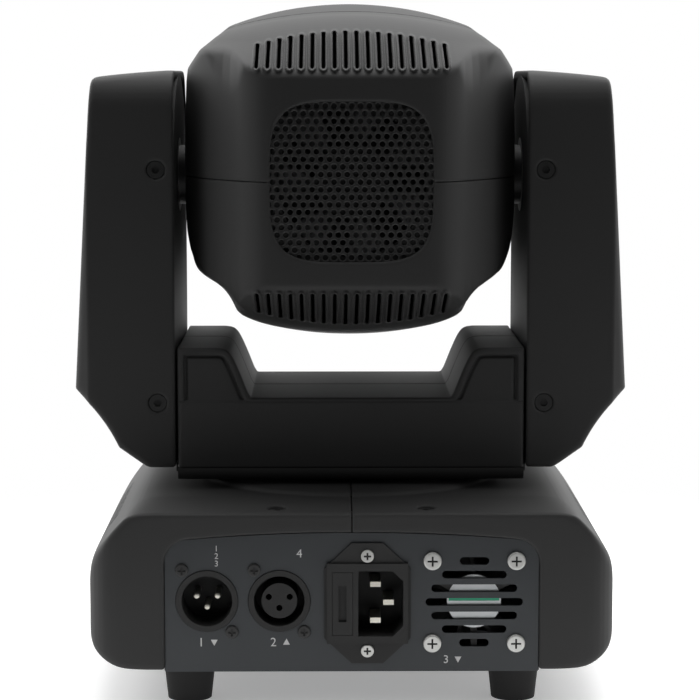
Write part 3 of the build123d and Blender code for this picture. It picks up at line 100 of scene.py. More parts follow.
# ------------------------------------------------------------------ distance fields, in millimetres
def arc(start: Point, mid: Point, end: Point, steps: int = 20) -> list[Point]:
    """Points along the circular arc through three points."""
    (ax, ay), (bx, by), (cx, cy) = start, mid, end
    d = 2 * (ax * (by - cy) + bx * (cy - ay) + cx * (ay - by))
    a2, b2, c2 = ax * ax + ay * ay, bx * bx + by * by, cx * cx + cy * cy
    ux = (a2 * (by - cy) + b2 * (cy - ay) + c2 * (ay - by)) / d
    uy = (a2 * (cx - bx) + b2 * (ax - cx) + c2 * (bx - ax)) / d
    angles = np.unwrap([math.atan2(y - uy, x - ux) for x, y in (start, mid, end)])
    radius = math.hypot(ax - ux, ay - uy)
    return [
        (ux + radius * math.cos(t), uy + radius * math.sin(t))
        for t in np.linspace(angles[0], angles[2], steps + 1)
    ]


def soften(points: Sequence[Point], rounds: int = 2) -> list[Point]:
    """Cuts an open line's corners, so that it turns smoothly."""
    line = np.array(points, float)
    for _ in range(rounds):
        cut = np.empty((2 * len(line), 2))
        cut[0], cut[-1] = line[0], line[-1]
        cut[1:-1:2] = line[:-1] * 0.75 + line[1:] * 0.25
        cut[2:-1:2] = line[:-1] * 0.25 + line[1:] * 0.75
        line = cut
    return [tuple(p) for p in line]


def mirrored(half: Sequence[Point]) -> list[Point]:
    """Closed outline from the half on the positive side of the first coordinate, listed bottom to top."""
    return list(half) + [(-u, v) for u, v in reversed(half)]


def area_distance(points: Sequence[Point], u: np.ndarray, v: np.ndarray) -> np.ndarray:
    """Signed distance to a closed outline, negative inside.

    Args:
        points: The outline's corners.
        u: First coordinate.
        v: Second coordinate, broadcast against u.

    Returns:
        Distances in the broadcast shape.
    """
    u, v = np.broadcast_arrays(u, v)
    best = np.full(u.shape, np.inf)
    inside = np.zeros(u.shape, bool)
    corners = np.array(points, float)
    for (ax, ay), (bx, by) in zip(corners, np.roll(corners, -1, 0)):
        ex, ey = bx - ax, by - ay
        t = np.clip(((u - ax) * ex + (v - ay) * ey) / max(ex * ex + ey * ey, 1e-12), 0, 1)
        best = np.minimum(best, (u - ax - t * ex) ** 2 + (v - ay - t * ey) ** 2)
        if ay != by:
            inside ^= ((ay > v) != (by > v)) & (u < ex * (v - ay) / ey + ax)
    return np.where(inside, -1, 1) * np.sqrt(best)


def swept_distance(points: Sequence[Point], ys: np.ndarray, height: np.ndarray) -> np.ndarray:
    """Distance to an outline in depth and height, where the height is bent across the width.

    Args:
        points: Outline of (y, height).
        ys: Depths of the grid.
        height: Bent height at each (x, z) of the grid.

    Returns:
        Distances at each (x, y, z) of the grid.
    """
    levels = np.arange(height.min() - 1, height.max() + 1.5, 0.25)
    table = area_distance(points, ys[:, None], levels[None, :]).astype(np.float32)
    place = (height - levels[0]) / 0.25
    low = np.floor(place).astype(int)
    part = (place - low).astype(np.float32)
    found = table[:, low] * (1 - part) + table[:, low + 1] * part
    return found.transpose(1, 0, 2)


def both(a: np.ndarray, b: np.ndarray, fillet: float) -> np.ndarray:
    """Intersection of two fields with its edge rounded."""
    return np.maximum(a, b) + np.maximum(fillet - np.abs(a - b), 0) ** 2 / (4 * fillet)


def either(a: np.ndarray, b: np.ndarray, fillet: float) -> np.ndarray:
    """Union of two fields with its corner filled."""
    return -both(-a, -b, fillet)


def slot_distance(u: np.ndarray, v: np.ndarray, low: float, high: float, radius: float) -> np.ndarray:
    """Distance to an upright round-ended slot between two heights."""
    reach = np.maximum(np.maximum(low + radius - v, v - high + radius), 0)
    return np.hypot(u, reach) - radius


def spaced(low: float, high: float, step: float, fine: Sequence[Stretch] = ()) -> np.ndarray:
    """Grid positions with finer steps inside the given stretches."""
    stops = list(np.arange(low, high + step, step))
    for a, b, s in fine:
        stops = [p for p in stops if p < a - s / 2 or p > b + s / 2] + list(np.arange(a, b + s / 2, s))
    return np.array(sorted(stops))


@dataclass(frozen=True)
class Grid:
    """Sample positions of a field along the three axes."""

    xs: np.ndarray
    ys: np.ndarray
    zs: np.ndarray

    @property
    def x(self) -> np.ndarray:
        """Widths, ready to broadcast."""
        return self.xs.astype(np.float32)[:, None, None]

    @property
    def y(self) -> np.ndarray:
        """Depths, ready to broadcast."""
        return self.ys.astype(np.float32)[None, :, None]

    @property
    def z(self) -> np.ndarray:
        """Heights, ready to broadcast."""
        return self.zs.astype(np.float32)[None, None, :]

    def over_xz(self, points: Sequence[Point]) -> np.ndarray:
        """Distance to an outline of (x, z)."""
        return area_distance(points, self.xs[:, None], self.zs[None, :]).astype(np.float32)[:, None, :]

    def over_xy(self, points: Sequence[Point]) -> np.ndarray:
        """Distance to an outline of (x, y)."""
        return area_distance(points, self.xs[:, None], self.ys[None, :]).astype(np.float32)[:, :, None]

    def over_yz(self, points: Sequence[Point]) -> np.ndarray:
        """Distance to an outline of (y, z)."""
        return area_distance(points, self.ys[:, None], self.zs[None, :]).astype(np.float32)[None, :, :]

    def net(self, field: np.ndarray) -> Mesh:
        """Meshes the field's zero level with surface nets.

        Args:
            field: Signed distances on the grid, negative inside.

        Returns:
            Vertices in millimetres, and quads that index them.
        """
        field = np.broadcast_to(field, (len(self.xs), len(self.ys), len(self.zs)))
        solid = field < 0
        nx, ny, nz = field.shape
        corners = [(i, j, k) for i in (0, 1) for j in (0, 1) for k in (0, 1)]
        count = np.zeros((nx - 1, ny - 1, nz - 1), np.uint8)
        for i, j, k in corners:
            count += solid[i : nx - 1 + i, j : ny - 1 + j, k : nz - 1 + k]
        active = (count > 0) & (count < 8)
        cells = np.argwhere(active)
        ids = np.full(active.shape, -1, np.int64)
        ids[active] = np.arange(len(cells))
        values = [field[cells[:, 0] + i, cells[:, 1] + j, cells[:, 2] + k] for i, j, k in corners]
        total = np.zeros((len(cells), 3))
        hits = np.zeros(len(cells))
        for a in range(8):
            for b in range(a + 1, 8):
                step = np.subtract(corners[b], corners[a])
                if np.abs(step).sum() != 1:
                    continue
                crossing = (values[a] < 0) != (values[b] < 0)
                gap = np.where(crossing, values[a] - values[b], 1)
                share = np.where(crossing, values[a] / gap, 0)
                total += crossing[:, None] * (np.array(corners[a]) + share[:, None] * step)
                hits += crossing
        inner = total / hits[:, None]
        along = (self.xs, self.ys, self.zs)
        vertices = np.stack(
            [stops[cells[:, n]] + inner[:, n] * np.diff(stops)[cells[:, n]] for n, stops in enumerate(along)],
            axis=1,
        )
        quads = []
        for axis in range(3):
            u, v = (axis + 1) % 3, (axis + 2) % 3
            first = np.take(solid, range(field.shape[axis] - 1), axis)
            second = np.take(solid, range(1, field.shape[axis]), axis)
            edges = np.argwhere(first != second)
            edges = edges[
                (edges[:, u] > 0)
                & (edges[:, v] > 0)
                & (edges[:, u] < field.shape[u] - 1)
                & (edges[:, v] < field.shape[v] - 1)
            ]
            ring = []
            for du, dv in ((-1, -1), (0, -1), (0, 0), (-1, 0)):
                at = edges.copy()
                at[:, u] += du
                at[:, v] += dv
                ring.append(ids[at[:, 0], at[:, 1], at[:, 2]])
            ring = np.stack(ring, axis=1)
            facing = solid[edges[:, 0], edges[:, 1], edges[:, 2]]
            quads.append(np.where(facing[:, None], ring, ring[:, ::-1]))
        return vertices, np.concatenate(quads)


# ------------------------------------------------------------------ shader node groups
class Links:
    """Small helper that adds and joins nodes in one tree."""

    def __init__(self, tree: bpy.types.NodeTree) -> None:
        """Keeps the tree."""
        self.tree = tree

    def add(self, kind: str, inputs: dict | None = None, **settings: object) -> bpy.types.Node:
        """Adds a node; inputs take constants or the sockets to link from."""
        node = self.tree.nodes.new(kind)
        for name, value in settings.items():
            setattr(node, name, value)
        for name, value in (inputs or {}).items():
            socket = node.inputs[name]
            if isinstance(value, bpy.types.NodeSocket):
                self.tree.links.new(value, socket)
            else:
                socket.default_value = value
        return node


class Effect(Enum):
    """Effects shared by several finishes, each a shader node group."""

    GRAIN = "fine_grain"
    WEAR = "edge_wear"
    DUST = "settled_dust"


def make_group(
    effect: Effect, inputs: dict[str, float], outputs: dict[str, str]
) -> tuple[Links, bpy.types.Node, bpy.types.Node]:
    """Starts a node group.

    Args:
        effect: Effect that the group makes.
        inputs: Float inputs and their usual values.
        outputs: Outputs and their socket types.

    Returns:
        The group's links, its input node and its output node.
    """
    tree = bpy.data.node_groups.new(effect.value, "ShaderNodeTree")
    for name, value in inputs.items():
        tree.interface.new_socket(name, in_out="INPUT", socket_type="NodeSocketFloat").default_value = value
    for name, kind in outputs.items():
        tree.interface.new_socket(name, in_out="OUTPUT", socket_type=kind)
    links = Links(tree)
    return links, links.add("NodeGroupInput"), links.add("NodeGroupOutput")


def patchy(
    links: Links,
    where: bpy.types.Node,
    given: bpy.types.Node,
    out: bpy.types.Node,
    scale: float,
    detail: float,
) -> None:
    """Breaks up a mask with noise and sends it out.

    Args:
        links: The group's links.
        where: Node whose Result is the mask.
        given: The group's input node, with an Amount.
        out: The group's output node, with a Mask.
        scale: Scale of the noise.
        detail: Detail of the noise.
    """
    place = links.add("ShaderNodeTexCoord")
    noise = links.add(
        "ShaderNodeTexNoise",
        {"Vector": place.outputs["Object"], "Scale": scale, "Detail": detail},
    )
    patch = links.add(
        "ShaderNodeMath",
        {0: where.outputs["Result"], 1: noise.outputs["Fac"]},
        operation="MULTIPLY",
    )
    part = links.add(
        "ShaderNodeMath",
        {0: patch.outputs[0], 1: given.outputs["Amount"]},
        operation="MULTIPLY",
    )
    links.tree.links.new(part.outputs[0], out.inputs["Mask"])


def build_groups() -> None:
    """Makes the grain, edge wear and dust groups."""
    outputs = {"Normal": "NodeSocketVector", "Value": "NodeSocketFloat"}
    links, given, out = make_group(Effect.GRAIN, {"Scale": 900.0, "Depth": 0.1}, outputs)
    place = links.add("ShaderNodeTexCoord")
    noise = links.add(
        "ShaderNodeTexNoise",
        {"Vector": place.outputs["Object"], "Scale": given.outputs["Scale"], "Detail": 3.0, "Roughness": 0.6},
    )
    bump = links.add(
        "ShaderNodeBump",
        {"Strength": given.outputs["Depth"], "Distance": 0.00012, "Height": noise.outputs["Fac"]},
    )
    links.tree.links.new(bump.outputs["Normal"], out.inputs["Normal"])
    links.tree.links.new(noise.outputs["Fac"], out.inputs["Value"])

    mask = {"Mask": "NodeSocketFloat"}
    links, given, out = make_group(Effect.WEAR, {"Radius": 0.0006, "Amount": 0.3}, mask)
    bevel = links.add("ShaderNodeBevel", {"Radius": given.outputs["Radius"]}, samples=4)
    shape = links.add("ShaderNodeNewGeometry")
    turn = links.add(
        "ShaderNodeVectorMath",
        {0: bevel.outputs["Normal"], 1: shape.outputs["Normal"]},
        operation="DOT_PRODUCT",
    )
    edge = links.add(
        "ShaderNodeMapRange",
        {"Value": turn.outputs["Value"], "From Min": 0.995, "From Max": 0.85, "To Min": 0.0, "To Max": 1.0},
    )
    patchy(links, edge, given, out, scale=160.0, detail=4.0)

    links, given, out = make_group(Effect.DUST, {"Amount": 0.05}, mask)
    shape = links.add("ShaderNodeNewGeometry")
    split = links.add("ShaderNodeSeparateXYZ", {"Vector": shape.outputs["Normal"]})
    upward = links.add(
        "ShaderNodeMapRange",
        {"Value": split.outputs["Z"], "From Min": 0.3, "From Max": 1.0},
    )
    patchy(links, upward, given, out, scale=45.0, detail=8.0)


@dataclass(frozen=True)
class Finish:
    """One procedural finish, for one material slot of the record."""

    slot: str
    colour: tuple[float, float, float]
    rough: float
    metallic: float = 0.0
    grain_scale: float = 900.0
    grain_depth: float = 0.1
    wear: float = 0.0
    wear_colour: tuple[float, float, float] = (0.3, 0.3, 0.3)
    dust: float = 0.02
    clear: float = 0.0
    coat: float = 0.0
    specular: float = 0.5

    def build(self) -> bpy.types.Material:
        """Makes the material."""
        material = bpy.data.materials.new(self.slot)
        material.use_nodes = True
        tree = material.node_tree
        links = Links(tree)
        shader = tree.nodes["Principled BSDF"]
        grain = links.add("ShaderNodeGroup", node_tree=bpy.data.node_groups[Effect.GRAIN.value])
        grain.inputs["Scale"].default_value = self.grain_scale
        grain.inputs["Depth"].default_value = self.grain_depth
        dust = links.add("ShaderNodeGroup", node_tree=bpy.data.node_groups[Effect.DUST.value])
        dust.inputs["Amount"].default_value = self.dust
        base = links.add("ShaderNodeRGB")
        base.outputs[0].default_value = (*self.colour, 1)
        colour = base.outputs[0]
        if self.wear:
            wear = links.add("ShaderNodeGroup", node_tree=bpy.data.node_groups[Effect.WEAR.value])
            wear.inputs["Amount"].default_value = self.wear
            worn = links.add("ShaderNodeMix", data_type="RGBA")
            tree.links.new(wear.outputs["Mask"], worn.inputs["Factor"])
            tree.links.new(colour, worn.inputs["A"])
            worn.inputs["B"].default_value = (*self.wear_colour, 1)
            colour = worn.outputs["Result"]
        dusty = links.add("ShaderNodeMix", data_type="RGBA")
        tree.links.new(dust.outputs["Mask"], dusty.inputs["Factor"])
        tree.links.new(colour, dusty.inputs["A"])
        dusty.inputs["B"].default_value = (0.32, 0.31, 0.29, 1)
        tree.links.new(dusty.outputs["Result"], shader.inputs["Base Color"])
        low, high = self.rough * 0.85, min(1.0, self.rough * 1.15)
        rough = links.add(
            "ShaderNodeMapRange",
            {"Value": grain.outputs["Value"], "To Min": low, "To Max": high},
        )
        tree.links.new(rough.outputs["Result"], shader.inputs["Roughness"])
        tree.links.new(grain.outputs["Normal"], shader.inputs["Normal"])
        shader.inputs["Metallic"].default_value = self.metallic
        shader.inputs["Transmission Weight"].default_value = self.clear
        shader.inputs["Coat Weight"].default_value = self.coat
        shader.inputs["Specular IOR Level"].default_value = self.specular
        return material


FINISHES: tuple[Finish, ...] = (
    Finish("moulded_black", (0.0165, 0.0165, 0.018), 0.31, grain_scale=1400, grain_depth=0.25, wear=0.05),
    Finish("panel_steel", (0.04, 0.041, 0.046), 0.46, grain_scale=2200, grain_depth=0.2, wear=0.15),
    Finish("chassis_steel", (0.46, 0.47, 0.48), 0.38, metallic=1.0, grain_depth=0.1),
    Finish("foot_rubber", (0.022, 0.022, 0.024), 0.6, grain_scale=700, grain_depth=0.4),
    Finish("dark_screw", (0.13, 0.13, 0.135), 0.3, metallic=0.9, wear=0.4),
    Finish("zinc_screw", (0.19, 0.19, 0.2), 0.34, metallic=1.0, wear=0.1),
    Finish("socket_plastic", (0.011, 0.011, 0.012), 0.36, grain_depth=0.1, wear=0.06),
    Finish("contact_metal", (0.78, 0.77, 0.74), 0.2, metallic=1.0, grain_depth=0.03),
    Finish("bright_steel", (0.62, 0.62, 0.63), 0.22, metallic=1.0, grain_depth=0.05),
    Finish("motor_body", (0.05, 0.05, 0.055), 0.4, metallic=0.6),
    Finish("belt_rubber", (0.014, 0.014, 0.014), 0.7, grain_depth=0.3),
    Finish("circuit_board", (0.01, 0.09, 0.04), 0.45),
    Finish("window_glass", (0.012, 0.013, 0.016), 0.08, coat=0.6, grain_depth=0.01),
    Finish("fuse_glass", (0.8, 0.85, 0.85), 0.05, clear=0.9, grain_depth=0.01),
    Finish("button_plastic", (0.028, 0.028, 0.03), 0.5, wear=0.05),
    Finish("pulley_aluminium", (0.7, 0.7, 0.71), 0.3, metallic=1.0, grain_depth=0.08),
    Finish("lens_glass", (0.85, 0.88, 0.9), 0.03, clear=0.85, coat=0.3, grain_depth=0.005, dust=0.01),
    Finish("grille_steel", (0.032, 0.032, 0.033), 0.42, metallic=0.3, grain_scale=1800, grain_depth=0.2),
)
PRINT_WHITE = Finish("printed_mark", (0.62, 0.62, 0.62), 0.55, grain_depth=0.05, dust=0.0)
LABEL_SILVER = Finish("label_silver", (0.55, 0.57, 0.58), 0.35, metallic=0.7, grain_depth=0.05)
LABEL_GREEN = Finish("label_green", (0.02, 0.36, 0.2), 0.4, grain_depth=0.05)


def finish_of(slot: str) -> Finish:
    """The finish of a material slot."""
    return next(finish for finish in FINISHES if finish.slot == slot)


# ------------------------------------------------------------------ pieces
def make_piece(
    name: str,
    vertices: np.ndarray,
    faces: Sequence[Sequence[int]] | np.ndarray,
    body: str,
    finish: Finish,
    nodes: Sequence[str] = (),
    smooth: bool = True,
) -> bpy.types.Object:
    """Adds a mesh piece that rides a CAD body.

    Args:
        name: The piece's name.
        vertices: Positions in millimetres in the row frame.
        faces: Vertex indices of each face.
        body: CAD body that it moves with.
        finish: Its finish; the material of that name is already made.
        nodes: CAD nodes that it stands for.
        smooth: Whether its shading is smooth.

    Returns:
        The new object.
    """
    mesh = bpy.data.meshes.new(name)
    corners = faces.tolist() if isinstance(faces, np.ndarray) else [list(face) for face in faces]
    mesh.from_pydata((np.asarray(vertices, float) * MM).tolist(), [], corners)
    mesh.update()
    mesh.polygons.foreach_set("use_smooth", np.full(len(mesh.polygons), smooth))
    mesh.materials.append(bpy.data.materials[finish.slot])
    piece = bpy.data.objects.new(name, mesh)
    bpy.context.scene.collection.objects.link(piece)
    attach(piece, body)
    if nodes:
        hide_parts(*nodes)
    log.info("%s: %d faces on %s", name, len(mesh.polygons), body)
    return piece


def flipped(vertices: np.ndarray, quads: np.ndarray) -> Mesh:
    """The same mesh on the other side of the middle plane."""
    return vertices * (-1, 1, 1), quads[:, ::-1]


def mean_angle_shading(piece: bpy.types.Object) -> None:
    """Weights vertex normals by face area, which keeps flat areas flat beside rounded edges."""
    modifier = piece.modifiers.new("weighted_normals", "WEIGHTED_NORMAL")
    modifier.keep_sharp = True


@dataclass
class Head:
    """Head covers: two vented shells and the front bezel. Heights run from the tilt axis."""

    rear_y: float = -75.0
    front_y: float = 82.0
    seam_y: float = 12.0
    seam_gap: float = 0.35
    wall: float = 2.5
    band: float = 40.0
    crease_rise: float = 3.0
    crown_sag: float = 6.4
    sag_depth: float = 14.0
    crown_reach: float = 49.4
    vent_count: int = 18
    vent_pitch: float = 4.25
    vent_low: float = 42.6
    vent_high: float = 57.0
    vent_drop: float = 5.0
    vent_half: float = 0.62
    vent_lip: float = 1.15
    tuck: float = 0.14
    grille_half_w: float = 30.9
    grille_half_h: float = 30.3
    lens_hole: float = 53.0
    lens_ring_r: float = 55.6
    lens_ring_half: float = 2.4
    edge_round: float = 3.0
    crease_start: float = 38.0
    crease_width: float = 27.0
    tuck_start: float = 22.0
    tuck_rise: float = 20.0
    tuck_reach: float = 45.0
    swing_x: tuple[float, ...] = (38.5, 40.5, 43.5, 46.5, 49.5, 53.0)
    swing_r: tuple[float, ...] = (85.6, 83.0, 75.6, 70.2, 67.2, 65.6)
    swing_round: float = 2.5
    grille_y: float = -72.0
    hole_pitch: float = 3.33
    hole_row: float = 2.87
    hole_r: float = 1.06
    plate_ys: tuple[float, float] = (3.0, -25.0)
    plate_half: float = 1.0
    plate_slack: float = 0.8
    side_x: float = 57.6
    side_half: float = 1.2
    step: float = 0.62

    def side_profile(self) -> list[Point]:
        """Outline of (depth, height) that the head follows along its middle."""
        crown = (0.0, 64.9)
        ahead = [crown, (self.seam_y, 66.3), (50.0, 71.6), (70.0, 70.0), (self.front_y, 63.0)]
        return [
            (self.rear_y, -30.0),
            *arc((self.rear_y, self.band), (-37.5, 57.6), crown),
            *soften(ahead, 3),
            (self.front_y, -30.0),
        ]

    def outline(self) -> list[Point]:
        """Outline of (width, height) seen from behind, wider above the axis than below it."""
        step_in = [(47.0, -57.2), (50.0, -51.0), (53.8, -46.6), (60.5, -42.6), (64.2, -38.8), (66.0, -30.0)]
        below = [
            *arc((0.0, -71.8), (24.0, -68.6), (44.6, -59.4), 12),
            *soften(step_in, 2),
            (68.0, -10.0),
        ]
        above = [(68.2, 5.0), (67.6, 24.0), (66.5, 38.0), (65.6, 43.0), (50.6, 60.6)]
        crown = arc((48.8, 61.6), (25.0, 69.0), (0.0, 71.8), 12)
        return mirrored(below + above + crown)

    def plan(self) -> list[Point]:
        """Outline of (width, depth) seen from above."""
        rear = [(14.0, self.rear_y), (32.0, -73.6), (40.5, -68.5), (46.0, -60.0)]
        side = [(52.5, -50.0), (59.0, -37.0), (65.0, -20.0), (68.2, -4.0), (68.2, 20.0)]
        return mirrored([(0.0, self.rear_y), *soften(rear + side, 3), (68.2, 58.0), (60.0, self.front_y)])

    def form(self, grid: Grid, sign: float) -> np.ndarray:
        """Closed form of the head around the grid.

        Args:
            grid: Grid whose heights run from the tilt axis, mirrored where sign is -1.
            sign: 1 above the axis, -1 below it.

        Returns:
            Signed distances.
        """
        width = np.abs(grid.xs)[:, None]
        height = np.abs(grid.zs)[None, :]
        toward = np.clip((height - self.band) / self.sag_depth, 0, 1)
        toward = toward * toward * (3 - 2 * toward)
        sag = self.crown_sag * (width / self.crown_reach) ** 2
        rise = self.crease_rise * np.clip((width - self.crease_start) / self.crease_width, 0, 1) ** 2
        bent = height + sag * toward - rise * (1 - toward)
        form = swept_distance(self.side_profile(), grid.ys, bent)
        flipped_grid = Grid(grid.xs, grid.ys, grid.zs * sign)
        outline = flipped_grid.over_xz(self.outline())
        if sign < 0:
            low = np.clip((grid.z - self.tuck_start) / self.tuck_rise, 0, 1)
            outline = outline + low * np.clip(self.seam_y - grid.y, 0, self.tuck_reach) * self.tuck
        form = both(form, outline, self.edge_round)
        form = both(form, grid.over_xy(self.plan()), self.edge_round)
        limit = np.interp(np.abs(grid.xs), self.swing_x, self.swing_r)
        swing = (np.hypot(grid.y, grid.z) - limit.astype(np.float32)[:, None, None]) * 0.8
        return np.where(grid.y < 2.0, both(form, swing, self.swing_round), form)

    def vent_field(self, grid: Grid) -> np.ndarray:
        """Distance to the nearest vent slot, in width and height."""
        offsets = (np.arange(self.vent_count) - (self.vent_count - 1) / 2) * self.vent_pitch
        nearest = np.full((len(grid.xs), len(grid.zs)), 99.0)
        for x in offsets:
            top = self.vent_high - self.vent_drop * (x / offsets[-1]) ** 2
            slot = slot_distance(grid.xs[:, None] - x, grid.zs[None, :], self.vent_low, top, self.vent_half)
            nearest = np.minimum(nearest, slot)
        return nearest.astype(np.float32)[:, None, :]

    def shell(self, sign: float) -> Mesh:
        """Mesh of the upper (1) or lower (-1) rear shell, in the row frame."""
        grid = Grid(
            spaced(-70, 70, self.step, [(-39, 39, 0.45)]),
            spaced(-76.5, 13.5, 0.75, [(10.4, 12.6, 0.3)]),
            spaced(-1, 71, self.step, [(41, 58.5, 0.5)]),
        )
        form = self.form(grid, sign)
        vents = self.vent_field(grid)
        lip = self.vent_lip * np.exp(-(((vents - 0.6) / 0.45) ** 2)) * (grid.y < 8)
        shell = np.maximum(form - lip, -(form + self.wall))
        shell = both(shell, -vents, 0.4)
        frame = (
            (np.abs(grid.x / self.grille_half_w) ** 4 + np.abs(grid.z / self.grille_half_h) ** 4) ** 0.25 - 1
        ) * self.grille_half_h
        shell = both(shell, -np.maximum(frame, grid.y + 70.0), 1.0)
        shell = both(shell, grid.y - (self.seam_y - self.seam_gap), 0.5)
        notch = np.maximum(np.abs(grid.z - 54.0) - 6.5, np.abs(grid.x) * -1 + 48.0)
        notch = np.maximum(notch, self.seam_y - 1.0 - np.clip((60.5 - grid.z) * 0.45, 0, 5) - grid.y)
        if sign > 0:
            shell = np.maximum(shell, -notch)
        shell = both(shell, 0.1 - grid.z, 0.3)
        vertices, quads = grid.net(shell)
        vertices[:, 2] *= sign
        vertices[:, 2] += TILT_Z
        return vertices, quads if sign > 0 else quads[:, ::-1]

    def grille(self) -> Mesh:
        """Mesh of the perforated sheet behind the rear opening, in the row frame."""
        grid = Grid(spaced(-33.4, 33.4, 0.32), spaced(-72.95, -71.0, 0.4), spaced(-32.7, 32.7, 0.32))
        rows = 2 * self.hole_row
        nearest = np.full((len(grid.xs), len(grid.zs)), 99.0)
        for shift in (0.0, 0.5):
            u = (grid.xs[:, None] / self.hole_pitch + shift) % 1.0
            v = (grid.zs[None, :] / rows + shift) % 1.0
            u, v = np.minimum(u, 1 - u) * self.hole_pitch, np.minimum(v, 1 - v) * rows
            nearest = np.minimum(nearest, np.hypot(u, v) - self.hole_r)
        sheet = np.maximum(np.abs(grid.x) - 32.8, np.abs(grid.z) - 32.1)
        sheet = np.maximum(sheet, np.abs(grid.y - self.grille_y) - 0.5)
        vertices, quads = grid.net(both(sheet, -nearest.astype(np.float32)[:, None, :], 0.3))
        vertices[:, 2] += TILT_Z
        return vertices, quads

    def around(self, xs: np.ndarray, ys: np.ndarray, step: float) -> tuple[Grid, np.ndarray]:
        """Grid over the whole height of the head, and the closed form on it."""
        heights = spaced(0, 73.1, step)
        upper = self.form(Grid(xs, ys, heights), 1.0)
        lower = self.form(Grid(xs, ys, heights[1:]), -1.0)
        grid = Grid(xs, ys, np.concatenate([-heights[:0:-1], heights]))
        return grid, np.concatenate([lower[:, :, ::-1], upper], axis=2)

    def bezel(self) -> Mesh:
        """Mesh of the front bezel, in the row frame."""
        grid, form = self.around(spaced(-70, 70, 0.85), spaced(8.8, 84.6, 0.9, [(11.0, 13.4, 0.4)]), 0.85)
        shell = np.maximum(form, -(form + self.wall))
        radius = np.hypot(grid.x, grid.z)
        ring = both(np.abs(radius - self.lens_ring_r) - self.lens_ring_half, np.abs(grid.y - 81.4) - 1.7, 1.6)
        shell = either(shell, ring, 1.0)
        shell = both(shell, self.seam_y + self.seam_gap - grid.y, 0.5)
        tongue = np.maximum(form + self.wall + 0.25, -(form + self.wall + 1.9))
        tongue = np.maximum(tongue, np.maximum(self.seam_y - 2.4 - grid.y, grid.y - self.seam_y - 1.5))
        shell = np.minimum(shell, tongue)
        shell = np.maximum(shell, -np.maximum(radius - self.lens_hole, 70.0 - grid.y))
        vertices, quads = grid.net(shell)
        vertices[:, 2] += TILT_Z
        return vertices, quads

    def chassis(self) -> Mesh:
        """Mesh of the frame inside the covers: two cross plates and two side plates, in the row frame."""
        depths = spaced(-30, 32, 1.0, [(-27, -23, 0.5), (1, 5, 0.5)])
        grid, form = self.around(spaced(-60, 60, 1.0), depths, 1.0)
        inside = form + self.wall + self.plate_slack
        ahead, behind = (np.abs(grid.y - y) - self.plate_half for y in self.plate_ys)
        ahead = np.maximum(ahead, 3.0 - np.hypot(grid.x, np.abs(grid.z) - 24.0))
        plates = np.maximum(np.minimum(ahead, behind), 9.0 - np.hypot(grid.x, grid.z))
        plates = np.maximum(np.maximum(plates, inside), np.abs(grid.x) - 58.0)
        sides = np.maximum(np.abs(np.abs(grid.x) - self.side_x) - self.side_half, np.abs(grid.z) - 30.0)
        sides = np.maximum(np.maximum(sides, np.abs(grid.y - 1.0) - 29.0), 8.0 - np.hypot(grid.y, grid.z))
        vertices, quads = grid.net(np.minimum(plates, np.maximum(sides, inside)))
        vertices[:, 2] += TILT_Z
        return vertices, quads

    def build(self) -> None:
        """Adds the covers, the grille and the frame."""
        black = finish_of("moulded_black")
        for half, sign in (("upper", 1.0), ("lower", -1.0)):
            nodes = [f"head_shell_{half}"]
            piece = make_piece(f"head_{half}_shell_cover", *self.shell(sign), "head", black, nodes)
            mean_angle_shading(piece)
        mean_angle_shading(make_piece("front_bezel_cover", *self.bezel(), "head", black, ["front_bezel"]))
        make_piece("head_grille_sheet", *self.grille(), "head", finish_of("grille_steel"), ["head_grille"])
        make_piece("head_frame_plates", *self.chassis(), "head", finish_of("chassis_steel"), ["head_frame"])


